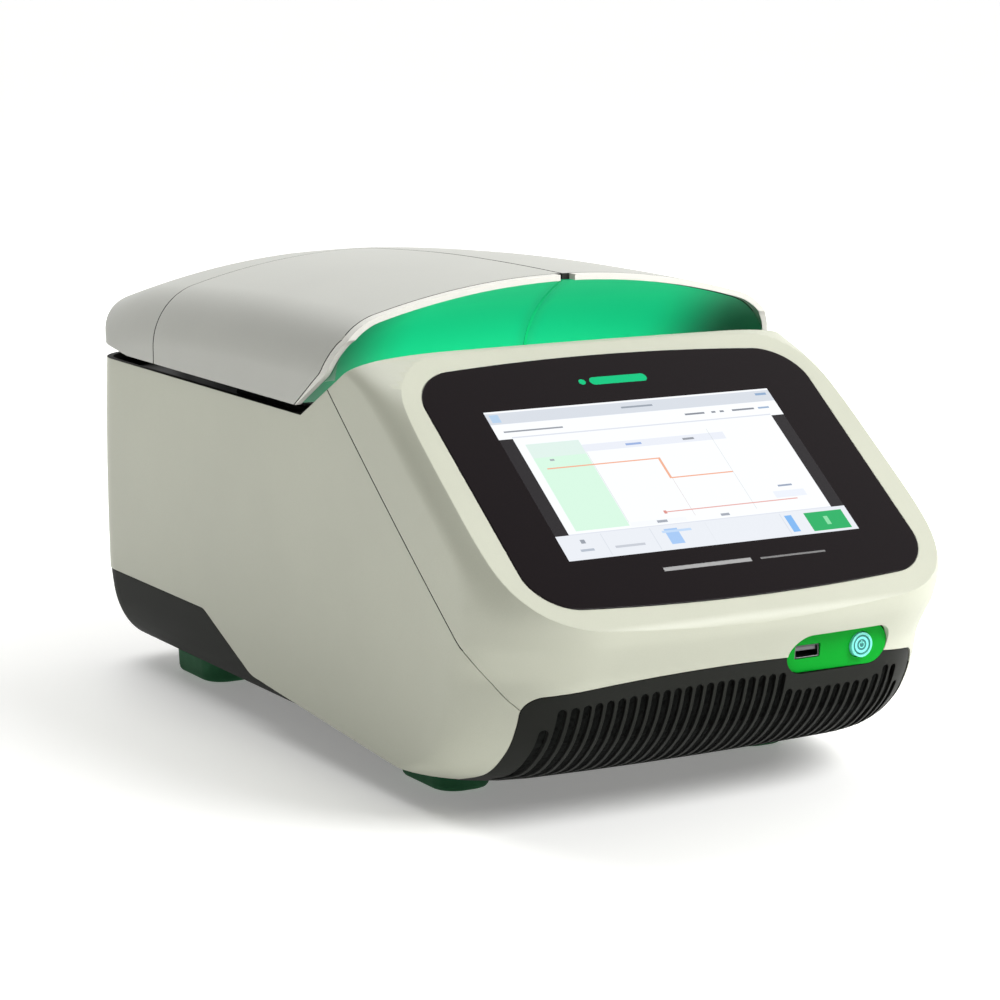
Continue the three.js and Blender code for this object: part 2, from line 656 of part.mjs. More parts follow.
// ---------------------------------------------------------------- lid form, right-hand half
const CROWN = new THREE.SplineCurve([
  [-76, 228.2], [-20, 228.8], [40, 228.2], [90, 226.2], [COWL_SEAM_Y, 222.6], [190, 217.2], [236, 206.5],
].map(([y, z]) => new THREE.Vector2(y, z)));

// The arch over the lid at one crown height: upright side, shoulder arc, crown arc.
function archPoints(crownZ, inset) {
  const width = LID_HALF_WIDTH - inset;
  const shoulder = SHOULDER_RADIUS - inset;
  const crown = CROWN_RADIUS - inset;
  const crownCentre = crownZ - inset - crown;
  const run = width - shoulder;
  const lean = Math.asin(run / (crown - shoulder));
  const shoulderZ = crownCentre + (crown - shoulder) * Math.cos(lean);
  const points = [];
  for (let k = 0; k <= 5; k += 1) {
    const angle = lean * k / 5;
    points.push([crown * Math.sin(angle), crownCentre + crown * Math.cos(angle)]);
  }
  for (let k = 1; k <= 6; k += 1) {
    const angle = lean + (Math.PI / 2 - lean) * k / 6;
    points.push([run + shoulder * Math.sin(angle), shoulderZ + shoulder * Math.cos(angle)]);
  }
  return points;
}

function archRing(y, crownZ, inset, low) {
  const right = archPoints(crownZ, inset);
  const left = right.slice(1).reverse().map(([x, z]) => [-x, z]);
  const foot = LID_HALF_WIDTH - inset;
  return [[-foot, low], ...left, ...right, [foot, low]].map(([x, z]) => new THREE.Vector3(x, y, z));
}

const archSolid = (inset, low) => loft(CROWN.getPoints(12).map((p) => archRing(p.x, p.y, inset, low)), 'y');

const LIP_Y = -64.5;
const LIP_BOW = 2000;
const lidPlan = (front, inset) => prism('z', bowedOutline({
  halfWidth: LID_HALF_WIDTH - inset,
  front,
  rear: LID_REAR_Y - inset,
  frontCorner: 9,
  rearCorner: REAR_CORNER - inset,
  frontBow: LIP_BOW,
  rearBow: Infinity,
}), 100, 300);

// Side profiles of the lid: the lip, and the seam behind the trim band.
const lidSide = (front) => prism('x', filleted([
  ...front, [-110, 270], [120, 270], [120, 227.5], [LID_REAR_Y, 210, 22], [LID_REAR_Y + 0.01, 175.4],
  [178, LID_BOTTOM, 30],
], 5), -FAR, FAR);
const LIP_SIDE = [[-20.5, LID_BOTTOM], [-52, 187.6, 14], [-60.5, 204, 10], [-110, 226]];
const SEAM_SIDE = [[-18.8, LID_BOTTOM], [-45.5, 187.6, 10], [-54.5, 204, 10], [-104, 226]];

const halfSpace = (from) => box(from, 200, -200, 300, 100, 300);

const lidOuter = overlap(archSolid(0, 150), lidPlan(LIP_Y, 0), lidSide(LIP_SIDE), halfSpace(LID_GAP));
const lidInner = overlap(archSolid(LID_WALL, 140), lidPlan(-120, LID_WALL), halfSpace(LID_GAP + LID_WALL),
  prism('x', filleted([[-130, 120], [-130, 270], [120, 270], [120, 224.5], [LID_REAR_Y - LID_WALL, 207.2, 20],
    [LID_REAR_Y - LID_WALL, 120]]), -FAR, FAR));
const lidSkin = cut(lidOuter, lidInner);

// The lit cove under the lip: upright at the bottom, sweeping forward to the lip.
const COVE_FOOT = [-22, LID_BOTTOM + 1];
const COVE_POWER = 2.9;
const DIFFUSER_THICK = 2.4;
const COVE_STATIONS = [0, 30, 55, 75, 88, 97, 104, 110, 114.5, 118];

function archHeight(x, inset) {
  const points = archPoints(228.4, inset);
  const next = points.findIndex(([px]) => px >= x);
  if (next <= 0) return points[0][1];
  const [[x0, z0], [x1, z1]] = [points[next - 1], points[next]];
  return z0 + (z1 - z0) * (x - x0) / (x1 - x0);
}

function coveCurve(x, shift, drop) {
  const topY = LIP_Y + x * x / (2 * LIP_BOW) + 5.5;
  const topZ = archHeight(x, LID_WALL + drop);
  return steps(9, (k) => {
    const t = k / 8;
    return [
      COVE_FOOT[0] + shift + (topY - COVE_FOOT[0]) * t ** COVE_POWER,
      COVE_FOOT[1] + (topZ - COVE_FOOT[1]) * t,
    ];
  });
}

function coveSlab(start, frontOf, backOf) {
  const stations = [start, ...COVE_STATIONS.slice(1), 119.2];
  const rings = stations.map((x) => [...backOf(x), ...frontOf(x).reverse()]
    .map(([y, z]) => new THREE.Vector3(x, y, z)));
  return loft(rings, 'x');
}

const coveVoid = coveSlab(-5,
  (x) => coveCurve(Math.max(x, 0), -140, 0).map(([, z]) => [-140, z]),
  (x) => coveCurve(Math.max(x, 0), DIFFUSER_THICK + 0.4, 0));
const lidBelowCove = box(-5, 119.2, -140, -18.9, 150, COVE_FOOT[1] + 0.01);

const shellFront = overlap(lidPlan(LIP_Y + BAND_WIDTH, 0), lidSide(SEAM_SIDE));
const seamFront = overlap(
  lidPlan(LIP_Y + BAND_WIDTH - LID_SEAM, -1),
  lidSide(SEAM_SIDE.map(([y, z, radius]) => [y - LID_SEAM, z, radius])),
);
const cowlZone = box(-5, 140, COWL_SEAM_Y, 300, 100, 300);
const shellZone = box(-5, 140, -200, COWL_SEAM_Y - LID_SEAM, 100, 300);

const trimZone = box(4, 140, -100, 20, 150, 240);

const makeLidTrim = () => overlap(cut(lidSkin, seamFront, coveVoid, lidBelowCove), trimZone);
const makeLidShell = () => cut(overlap(lidSkin, shellZone, shellFront), coveVoid, lidBelowCove);

function makeLidCowl() {
  const hingeNotch = box(10, 108, 214, 240, 100, 190);
  return cut(overlap(lidSkin, cowlZone), hingeNotch);
}

const makeLidDiffuser = () => coveSlab(LID_GAP + 0.3,
  (x) => coveCurve(x, 0, 0.35),
  (x) => coveCurve(x, DIFFUSER_THICK, 0.35));

const PLATEN = { size: [62, 84], bottom: 167.4 };

function makeLidLiner() {
  const plate = box(LID_GAP + LID_WALL + GAP, 119.2, -18.4, 174, 170, 173);
  const ribs = [30, 60, 90].map((x) => box(x - 1, x + 1, 112, 174, 172.5, 190));
  const arm = box(KNUCKLE_X - 10, KNUCKLE_X + 10, 172, HINGE_Y - 3, 172.4, HINGE_Z + 5.5);
  const half = KNUCKLE_HALF - GAP;
  const knuckle = rod('x', HINGE_Y, HINGE_Z, KNUCKLE_RADIUS, KNUCKLE_X - half, KNUCKLE_X + half);
  const window = box(BLOCK_X - 32, BLOCK_X + 32, BLOCK_Y - 43, BLOCK_Y + 43, 160, 180);
  const bore = rod('x', HINGE_Y, HINGE_Z, BORE_RADIUS, KNUCKLE_X - 30, KNUCKLE_X + 30);
  return cut(join(plate, ...ribs, arm, knuckle), window, bore);
}

function makePlaten() {
  const [width, depth] = PLATEN.size;
  const plate = box(
    BLOCK_X - width / 2, BLOCK_X + width / 2, BLOCK_Y - depth / 2, BLOCK_Y + depth / 2, PLATEN.bottom, 174,
  );
  const flange = box(BLOCK_X - 36, BLOCK_X + 36, BLOCK_Y - 47, BLOCK_Y + 47, 173 + GAP, 177);
  return join(plate, flange);
}

const makeLightBar = () => join(
  box(8, 110, -18.6, -16.6, 176, 184),
  box(8, 110, -16.8, -10, 176, 178),
);

// ---------------------------------------------------------------- finishes
const finish = (color, roughness, metalness = 0) => new THREE.MeshStandardMaterial({ color, roughness, metalness });
const FINISH = {
  casing: () => finish(0xd3d4c6, 0.5),
  lid: () => finish(0xb9bab2, 0.5),
  trim: () => finish(0xd8d6cc, 0.45),
  dark: () => finish(0x32332f, 0.6),
  glass: () => finish(0x17151a, 0.12),
  green: () => finish(0x00a03a, 0.4),
  lit: () => finish(0x22d68a, 0.5),
  cyan: () => finish(0xa8f2ef, 0.4),
  rubber: () => finish(0x0c5a30, 0.8),
  aluminium: () => finish(0xb8bcc0, 0.35, 0.9),
  steel: () => finish(0x9aa0a4, 0.3, 1),
  board: () => finish(0x1c6b3a, 0.6),
  black: () => finish(0x191a1b, 0.5),
  ceramic: () => finish(0xe8e6df, 0.7),
  seal: () => finish(0x4a4b4d, 0.8),
};

const machine = new THREE.Group();
machine.name = 'thermal_cycler';

function place(name, manifold, finishName) {
  const mesh = new THREE.Mesh(geometryOf(manifold), FINISH[finishName]());
  mesh.name = name;
  machine.add(mesh);
}

place('base_tray', makeBaseTray(), 'dark');
place('housing', makeHousing(), 'casing');
place('fascia', makeFascia(), 'casing');
place('front_grille', makeGrille(), 'dark');
place('intake_screen', makeIntakeScreen(), 'black');
place('port_pod', makePortPod(), 'green');
place('usb_socket', makeUsbSocket(USB_X, CONTROL_Z, -213, 1), 'steel');
place('power_ring', makePowerRing(), 'cyan');
place('power_button', makePowerButton(), 'green');
place('touch_glass', makeTouchGlass(), 'glass');
place('lcd_module', makeLcdModule(), 'steel');
place('display_frame', makeDisplayFrame(), 'black');
place('rear_panel', makeRearPanel(), 'dark');
place('power_inlet', makePowerInlet(), 'black');
place('switch_frame', makeSwitchFrame(), 'black');
place('power_rocker', makeRocker(), 'black');
place('ethernet_socket', makeLanSocket(), 'steel');
place('rear_usb_socket', makeUsbSocket(REAR_USB.x, REAR_USB.z, REAR_Y - 0.2, -1), 'steel');
place('inner_deck', makeDeck(), 'dark');
place('fan_bulkhead', makeFanBulkhead(), 'steel');
place('power_supply', makePowerSupply(), 'steel');
place('control_board', makeControlBoard(), 'board');

[['left', -1], ['right', 1]].forEach(([name, side]) => {
  place(`foot_front_${name}`, makeFoot(side * FEET.front[0], FEET.front[1]), 'rubber');
  place(`foot_rear_${name}`, makeFoot(side * FEET.rear[0], FEET.rear[1]), 'rubber');
  place(`heat_sink_${name}`, makeHeatSink(side), 'aluminium');
  place(`peltier_${name}`, makePeltier(side), 'ceramic');
  place(`sample_block_${name}`, makeSampleBlock(side), 'aluminium');
  place(`block_seal_${name}`, makeBlockSeal(side), 'seal');
  place(`fan_frame_${name}`, makeFanFrame(side), 'black');
  place(`fan_rotor_${name}`, makeFanRotor(side), 'black');
  place(`hinge_bracket_${name}`, makeHingeBracket(side), 'steel');
  place(`hinge_pin_${name}`, makeHingePin(side), 'steel');
  const lidPieces = [
    ['lid_shell', makeLidShell, 'lid'], ['lid_cowl', makeLidCowl, 'lid'], ['lid_trim', makeLidTrim, 'trim'],
    ['lid_diffuser', makeLidDiffuser, 'lit'], ['lid_liner', makeLidLiner, 'black'],
    ['heated_platen', makePlaten, 'aluminium'], ['light_bar', makeLightBar, 'ceramic'],
  ];
  lidPieces.forEach(([piece, make, finishName]) => {
    place(`${piece}_${name}`, side > 0 ? make() : mirrored(make()), finishName);
  });
});

export default machine;
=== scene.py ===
import json
import math

import bmesh
import bpy
from bpy.props import FloatProperty, FloatVectorProperty, IntProperty, PointerProperty
from mathutils import Matrix, Vector


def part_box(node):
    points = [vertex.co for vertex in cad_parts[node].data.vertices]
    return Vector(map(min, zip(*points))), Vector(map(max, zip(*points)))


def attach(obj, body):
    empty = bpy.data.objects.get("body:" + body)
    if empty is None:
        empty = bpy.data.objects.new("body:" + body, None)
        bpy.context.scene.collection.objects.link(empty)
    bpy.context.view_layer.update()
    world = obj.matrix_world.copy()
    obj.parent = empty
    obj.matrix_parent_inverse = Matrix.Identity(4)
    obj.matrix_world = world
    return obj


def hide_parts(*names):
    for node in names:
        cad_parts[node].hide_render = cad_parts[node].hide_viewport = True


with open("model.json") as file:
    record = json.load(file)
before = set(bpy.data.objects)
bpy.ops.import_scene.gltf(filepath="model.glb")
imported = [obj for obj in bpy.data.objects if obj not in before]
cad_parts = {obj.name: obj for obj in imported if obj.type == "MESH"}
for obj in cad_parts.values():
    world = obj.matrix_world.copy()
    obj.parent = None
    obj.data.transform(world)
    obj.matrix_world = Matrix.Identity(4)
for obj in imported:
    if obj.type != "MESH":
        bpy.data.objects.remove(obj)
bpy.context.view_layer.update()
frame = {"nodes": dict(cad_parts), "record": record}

bl_info = {
    "name": "Thermal Cycler",
    "version": (1, 0, 0),
    "blender": (4, 5, 0),
    "location": "View3D > Sidebar > Cycler",
    "description": "Builds the shown pieces and finishes of a bench-top thermal cycler over its fixed frame",
    "category": "Object",
}

MM = 0.001
SIDES = (("left", -1), ("right", 1))

# Lengths below are in millimetres, in the frame's own axes; meshes are scaled to metres.
GAP = 0.3
SEAM = 0.75            # dark joint between the fascia and the housing
WALL = 3.2
GRILLE_WALL = 1.9
GRILLE_SINK = 0.5
GRILLE_FOOT = 14.2
GRILLE_CROWN = 71
SLOT_FOOT = 16.5
FOOT_CORNER = 12.4
BOARD_TOP = 26.2       # top of the bare circuit board; its parts stand above
REAR_Y = 230
RIM_Z = 165
NOSE_Y = -230
FRONT_CORNER = 45
REAR_CORNER = 28
FRONT_BOW = 900
SLOPE = math.radians(36)
DISPLAY = Vector((0, -156.8, 147.8))
DISPLAY_SIZE = (154, 93.5)
RIDGE = (-84.6, 200.2)
NOTCH = (-23, RIM_Z)
FAR = 320

POD = {
    "x": 51.3, "z": 71.4, "width": 56.5, "height": 19.5, "face": ((-211.6, 58), (-215.8, 86)), "back": -204.5,
}
CONTROL_Z = 71.6
BUTTON_X = 65
USB_X = 36

LID_HALF = 122.4
LID_BOTTOM = 169.5
LID_WALL = 2.8
LID_REAR_Y = 228
LID_SEAM = 0.9
COWL_SEAM_Y = 144
LIP_Y = -64.5
BAND_WIDTH = 6.2


# ---------------------------------------------------------------- outlines
def filleted(corners, segments=10):
    """A closed outline whose corners (a, b, radius) are rounded with arcs."""
    outline = []
    count = len(corners)
    for i, corner in enumerate(corners):
        here = Vector(corner[:2])
        radius = corner[2] if len(corner) > 2 else 0
        if not radius:
            outline.append(here)
            continue
        back = (Vector(corners[i - 1][:2]) - here).normalized()
        ahead = (Vector(corners[(i + 1) % count][:2]) - here).normalized()
        half = math.acos(max(-1, min(1, back.dot(ahead)))) / 2
        centre = here + (back + ahead).normalized() * (radius / math.sin(half))
        reach = radius / math.tan(half)
        start = here + back * reach - centre
        end = here + ahead * reach - centre
        turn = math.atan2(start.x * end.y - start.y * end.x, start.dot(end))
        for k in range(segments + 1):
            angle = turn * k / segments
            outline.append(centre + Vector((
                start.x * math.cos(angle) - start.y * math.sin(angle),
                start.x * math.sin(angle) + start.y * math.cos(angle),
            )))
    return outline


def rounded(width, height, radius, segments=10, cx=0, cy=0):
    """A rectangle with rounded corners."""
    x, y = width / 2, height / 2
    quarters = ((-1, -1), (1, -1), (1, 1), (-1, 1))
    return filleted([(cx + a * x, cy + b * y, radius) for a, b in quarters], segments)


def circle(radius, segments=48, cx=0, cy=0):
    turns = [2 * math.pi * k / segments for k in range(segments)]
    return [Vector((cx + radius * math.cos(a), cy + radius * math.sin(a))) for a in turns]


def bowed(half, front, rear, front_corner, rear_corner, front_bow=None, rear_bow=None, arc=14, run=22):
    """A rounded plan outline whose front and rear edges can bow outwards."""
    outline = []
    corners = ((1, front, front_corner, 1), (1, rear, rear_corner, -1),
               (-1, rear, rear_corner, -1), (-1, front, front_corner, 1))
    for i, (side, edge, radius, inward) in enumerate(corners):
        for k in range(arc + 1):
            angle = (i - 1 + k / arc) * math.pi / 2
            outline.append(Vector((side * (half - radius) + radius * math.cos(angle),
                                   edge + inward * radius + radius * math.sin(angle))))
        if i % 2:
            straight = half - radius
            outline += [Vector((side * straight * (1 - 2 * k / run), edge)) for k in range(1, run)]
    middle = (front + rear) / 2
    for point in outline:
        bow = front_bow if point.y < middle else rear_bow
        if bow:
            point.y += math.copysign(point.x ** 2 / (2 * bow), middle - point.y)
    return outline


def spline(points, steps):
    """Points along a smooth curve through the given ones."""
    last = len(points) - 1
    curve = []
    for k in range(steps + 1):
        place = last * k / steps
        i = min(int(place), last - 1)
        t = place - i
        p0, p1, p2, p3 = (Vector(points[max(0, min(last, i + d))]) for d in (-1, 0, 1, 2))
        v0, v1 = (p2 - p0) / 2, (p3 - p1) / 2
        cubic = 2 * (p1 - p2) + v0 + v1
        square = 3 * (p2 - p1) - 2 * v0 - v1
        curve.append(cubic * t ** 3 + square * t ** 2 + v0 * t + p1)
    return curve


def level_at(path, place):
    """Reads a rising row of (place, level) points at one place, in straight steps."""
    for (x0, z0), (x1, z1) in zip(path, path[1:]):
        if x1 >= place:
            return z0 + (z1 - z0) * (place - x0) / (x1 - x0)
    return path[-1][1]


# ---------------------------------------------------------------- solids
def solid(name, points, faces):
    """A closed mesh object from points in millimetres."""
    mesh = bpy.data.meshes.new(name)
    mesh.from_pydata([Vector(p) * MM for p in points], [], faces)
    shape = bmesh.new()
    shape.from_mesh(mesh)
    bmesh.ops.remove_doubles(shape, verts=shape.verts, dist=1e-6)
    bmesh.ops.recalc_face_normals(shape, faces=shape.faces)
    shape.to_mesh(mesh)
    shape.free()
    thing = bpy.data.objects.new(name, mesh)
    bpy.context.scene.collection.objects.link(thing)
    return thing


def loft(rings, name="form"):
    """A solid skinned over closed rings with the same number of points."""
    count = len(rings[0])
    points = [p for ring in rings for p in ring]
    faces = []
    for low in range(0, (len(rings) - 1) * count, count):
        for j in range(count):
            k = (j + 1) % count
            faces.append((low + j, low + k, low + count + k, low + count + j))
    top = (len(rings) - 1) * count
    faces += [tuple(range(count))[::-1], tuple(range(top, top + count))]
    return solid(name, points, faces)


LAY = {
    "x": lambda p, d: (d, p.x, p.y),
    "y": lambda p, d: (p.x, d, p.y),
    "z": lambda p, d: (p.x, p.y, d),
}


def prism(axis, outline, start, end, steps=1, name="form"):
    """An outline carried along an axis: its points are (y, z), (x, z) or (x, y)."""
    places = [start + (end - start) * k / steps for k in range(steps + 1)]
    return loft([[LAY[axis](p, place) for p in outline] for place in places], name)


def block(x0, x1, y0, y1, z0, z1, name="form"):
    outline = [Vector((x0, y0)), Vector((x1, y0)), Vector((x1, y1)), Vector((x0, y1))]
    return prism("z", outline, z0, z1, name=name)


def on_slope(u, v, n):
    """A point in the frame of the display: u across, v up the slope, n out of it."""
    across, up = math.cos(SLOPE), math.sin(SLOPE)
    return DISPLAY + Vector((u, v * across - n * up, v * up + n * across))


def slope_prism(outline, start, end, name="form"):
    return loft([[on_slope(p.x, p.y, n) for p in outline] for n in (start, end)], name)


def carve(thing, tool, operation="DIFFERENCE"):
    """Cuts, joins or intersects thing with tool, which is used up."""
    step = thing.modifiers.new("carve", "BOOLEAN")
    step.operation = operation
    step.solver = "MANIFOLD"
    step.object = tool
    done = bpy.data.meshes.new_from_object(thing.evaluated_get(bpy.context.evaluated_depsgraph_get()))
    thing.modifiers.clear()
    thing.data = done
    discard(tool)
    return thing


def discard(thing):
    mesh = thing.data
    bpy.data.objects.remove(thing)
    bpy.data.meshes.remove(mesh)


def copied(thing, name="form"):
    twin = thing.copy()
    twin.data = thing.data.copy()
    twin.name = name
    bpy.context.scene.collection.objects.link(twin)
    return twin


def join(things):
    """One object made of several solids that stay apart."""
    first = things[0]
    shape = bmesh.new()
    for thing in things:
        shape.from_mesh(thing.data)
    shape.to_mesh(first.data)
    shape.free()
    for thing in things[1:]:
        discard(thing)
    return first


def mirrored(thing, name):
    twin = copied(thing, name)
    twin.data.transform(Matrix.Scale(-1, 4, (1, 0, 0)))
    twin.data.flip_normals()
    return twin


def case_depth(p):
    """How far a point lies inside the case's outer skin and the display slope, in millimetres."""
    z = min(max(p.z, FRONT_LEVELS[0][0]), FRONT_LEVELS[-1][0])
    front = max(level_at(FRONT_LEVELS, z), NOSE_Y) + p.x ** 2 / (2 * FRONT_BOW)
    sides = case_half(p.z) - abs(p.x)
    depths = [sides, p.y - front, REAR_Y - p.y, (slope_z(p.y) - p.z) * math.cos(SLOPE)]
    for radius, edge in ((FRONT_CORNER, p.y - front), (REAR_CORNER, REAR_Y - p.y)):
        if sides < radius and edge < radius:
            depths.append(radius - math.hypot(radius - sides, radius - edge))
    return min(depths)


def in_case(face):
    return case_depth(face.center / MM) > 2.4


def in_lid(face):
    """Faces of a lid that don't look outwards."""
    rear = face.normal.y > 0.2 and face.center.y / MM > 190
    return face.normal.z < 0.2 and not rear and lid_depth(face.center / MM) > 1.2


def behind_face(face):
    return face.normal.y > -0.03


def paint_inner_shade(thing, dark, hidden):
    """Gives the hidden faces a second, dark finish: painted shade inside the shell and in its seams and
    slots.
    """
    thing.data.materials.append(dark)
    for face in thing.data.polygons:
        if hidden(face):
            face.material_index = 1


def lid_depth(p):
    """How far a point lies inside a lid's outer skin, in millimetres."""
    x = abs(p.x)
    lift = level_at(CROWN, p.y) - ARCH_TOP
    sides, rear = LID_HALF - x, LID_REAR_Y - p.y
    depths = [sides, rear, arch_height(min(x, LID_HALF), 0) + lift - p.z]
    if sides < REAR_CORNER and rear < REAR_CORNER:
        depths.append(REAR_CORNER - math.hypot(REAR_CORNER - sides, REAR_CORNER - rear))
    return min(depths)


def finish_piece(thing, name, body, finish, nodes, sharp=32):
    """Names a built piece, shades it, gives it its finish and its body, and stands it for its CAD nodes."""
    thing.name = name
    thing.data.name = name
    thing.data.materials.clear()
    thing.data.materials.append(finish)
    thing.data.shade_smooth()
    thing.data.set_sharp_from_angle(angle=math.radians(sharp))
    weight = thing.modifiers.new("even shading", "WEIGHTED_NORMAL")
    weight.keep_sharp = True
    weight.weight = 80
    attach(thing, body)
    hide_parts(*nodes)
    return thing


SLOT = {entry["node"]: entry["material_slot"] for entry in frame["record"]["subparts"]}


# ---------------------------------------------------------------- shader expressions
class Wire:
    """One output socket. An expression on wires and numbers adds the Math nodes that work it out."""

    def __init__(self, recipe, socket):
        self.recipe = recipe
        self.socket = socket

    def _maths(self, operation, *values):
        return self.recipe.node("ShaderNodeMath", {"operation": operation}, dict(enumerate(values)))

    def __add__(self, other):
        return self._maths("ADD", self, other)

    __radd__ = __add__

    def __sub__(self, other):
        return self._maths("SUBTRACT", self, other)

    def __rsub__(self, other):
        return self._maths("SUBTRACT", other, self)

    def __mul__(self, other):
        return self._maths("MULTIPLY", self, other)

    __rmul__ = __mul__

    def __truediv__(self, other):
        return self._maths("DIVIDE", self, other)

    def __rtruediv__(self, other):
        return self._maths("DIVIDE", other, self)

    def __pow__(self, other):
        return self._maths("POWER", self, other)

    def __abs__(self):
        return self._maths("ABSOLUTE", self)

    def __gt__(self, other):
        return self._maths("GREATER_THAN", self, other)

    def __lt__(self, other):
        return self._maths("LESS_THAN", self, other)

    def least(self, other):
        return self._maths("MINIMUM", self, other)

    def most(self, other):
        return self._maths("MAXIMUM", self, other)

    def root(self):
        return self._maths("SQRT", self)

    def fraction(self):
        return self._maths("FRACT", self)

    def rising(self, low, high):
        """0 below low, 1 above high, and an easy slope between."""
        return self.recipe.node("ShaderNodeMapRange", {"interpolation_type": "SMOOTHSTEP"},
                                {"Value": self, "From Min": low, "From Max": high})

    def within(self, low, high, soft):
        return self.rising(low - soft, low + soft) * (1 - self.rising(high - soft, high + soft))


class Recipe:
    """A material and its nodes."""

    def __init__(self, name):
        self.material = bpy.data.materials.new(name)
        self.material.use_nodes = True
        self.tree = self.material.node_tree
        self.shader = next(n for n in self.tree.nodes if n.type == "BSDF_PRINCIPLED")
        self._axes = None

    def node(self, kind, settings=None, sockets=None, output=0):
        """Adds a node: its settings first, then the values or links of its sockets."""
        made = self.tree.nodes.new(kind)
        for key, value in (settings or {}).items():
            setattr(made, key, value)
        for key, value in (sockets or {}).items():
            self.plug(made.inputs[key], value)
        return Wire(self, made.outputs[output])

    def plug(self, socket, value):
        if isinstance(value, Wire):
            self.tree.links.new(value.socket, socket)
        elif socket.type == "RGBA" and len(value) == 3:
            socket.default_value = (*value, 1)
        else:
            socket.default_value = value

    def set(self, **values):
        """Sets the main shader's sockets; underscores stand for spaces."""
        for key, value in values.items():
            self.plug(self.shader.inputs[key.replace("_", " ")], value)
        return self.material

    def place(self):
        return self.node("ShaderNodeTexCoord", output="Object")

    def axes(self):
        """x, y and z in millimetres."""
        if self._axes is None:
            scaled = self.node("ShaderNodeVectorMath", {"operation": "SCALE"},
                               {0: self.place(), "Scale": 1000})
            split = self.node("ShaderNodeSeparateXYZ", sockets={0: scaled}).socket.node
            self._axes = [Wire(self, split.outputs[k]) for k in range(3)]
        return self._axes

    def noise(self, scale, detail=3.0, roughness=0.55, stretch=(1, 1, 1)):
        vector = self.node("ShaderNodeVectorMath", {"operation": "MULTIPLY"}, {0: self.place(), 1: stretch})
        return self.node("ShaderNodeTexNoise", {"noise_dimensions": "3D"},
                         {"Vector": vector, "Scale": scale, "Detail": detail, "Roughness": roughness})

    def cells(self, scale):
        return self.node("ShaderNodeTexVoronoi", sockets={"Vector": self.place(), "Scale": scale})

    def mix(self, mask, first, second):
        """A colour between two, by a mask."""
        return self.node("ShaderNodeMix", {"data_type": "RGBA"}, {0: mask, 6: first, 7: second}, output=2)

    def edges(self, radius):
        """The normal with edges eased, and a mask of where they are."""
        eased = self.node("ShaderNodeBevel", {"samples": 6}, {"Radius": radius * MM})
        plain = self.node("ShaderNodeNewGeometry", output="Normal")
        alike = self.node("ShaderNodeVectorMath", {"operation": "DOT_PRODUCT"}, {0: eased, 1: plain},
                          output="Value")
        return eased, (1 - alike).rising(0.0, 0.12)

    def bump(self, height, distance, strength, normal=None):
        sockets = {"Height": height, "Distance": distance * MM, "Strength": strength}
        if normal is not None:
            sockets["Normal"] = normal
        return self.node("ShaderNodeBump", sockets=sockets)


def shade(colour, factor):
    return tuple(min(1, c * factor) for c in colour)


def moulded(name, colour, roughness=0.45, grain=0.3, edge=0.5, gloss=0.5, tint=(1, 1, 1)):
    """Moulded plastic: spark-eroded grain, slow drift of tone, eased and slightly rubbed edges."""
    r = Recipe(name)
    eased, rim = r.edges(edge)
    drift = r.noise(9, 4)
    specks = r.noise(2600, 2)
    pits = r.cells(1500)
    tone = r.mix(drift.rising(0.3, 0.7), shade(colour, 0.965), shade(colour, 1.03))
    tinted = tuple(c * t for c, t in zip(colour, tint))
    tone = r.mix(specks.rising(0.35, 0.75) * 0.5, tone, shade(tinted, 0.93))
    tone = r.mix(rim * 0.35, tone, shade(colour, 1.12))
    rough = roughness + (drift - 0.5) * 0.08 + (specks - 0.5) * 0.10 - rim * 0.06
    skin = r.bump(specks * 0.6 + pits * 0.4, 0.03, grain, eased)
    return r.set(Base_Color=tone, Roughness=rough, Normal=skin, Specular_IOR_Level=gloss)


def metal(name, colour, roughness=0.32, stretch=(40, 1, 1), grain=0.15):
    """Metal with drawn or machined streaks, stains and bright edges."""
    r = Recipe(name)
    eased, rim = r.edges(0.4)
    streaks = r.noise(60, 5, 0.6, stretch)
    stain = r.noise(22, 4)
    tone = r.mix(stain.rising(0.35, 0.75), shade(colour, 0.86), colour)
    tone = r.mix(rim * 0.5, tone, shade(colour, 1.25))
    rough = roughness + (streaks - 0.5) * 0.22 + (stain - 0.5) * 0.12 - rim * 0.08
    return r.set(Base_Color=tone, Roughness=rough, Metallic=1.0, Normal=r.bump(streaks, 0.02, grain, eased))


def rubber(name, colour, roughness=0.75):
    r = Recipe(name)
    eased, rim = r.edges(0.8)
    dust = r.noise(60, 5)
    grain = r.noise(1800, 3)
    tone = r.mix(dust.rising(0.45, 0.8) * 0.6, colour, shade(tuple(c + 0.02 for c in colour), 1.4))
    tone = r.mix(rim * 0.3, tone, shade(colour, 1.6))
    return r.set(Base_Color=tone, Roughness=roughness + (grain - 0.5) * 0.2,
                 Normal=r.bump(grain, 0.05, 0.3, eased))


def foam(name, colour):
    """Open-cell filter foam."""
    r = Recipe(name)
    cells = r.cells(420)
    dust = r.noise(50, 4)
    tone = r.mix(cells.rising(0.1, 0.6), shade(colour, 0.4), colour)
    tone = r.mix(dust.rising(0.55, 0.85) * 0.4, tone, shade(colour, 1.6))
    return r.set(Base_Color=tone, Roughness=0.85 + dust * 0.1, Normal=r.bump(cells, 0.3, 0.7),
                 Specular_IOR_Level=0.1)


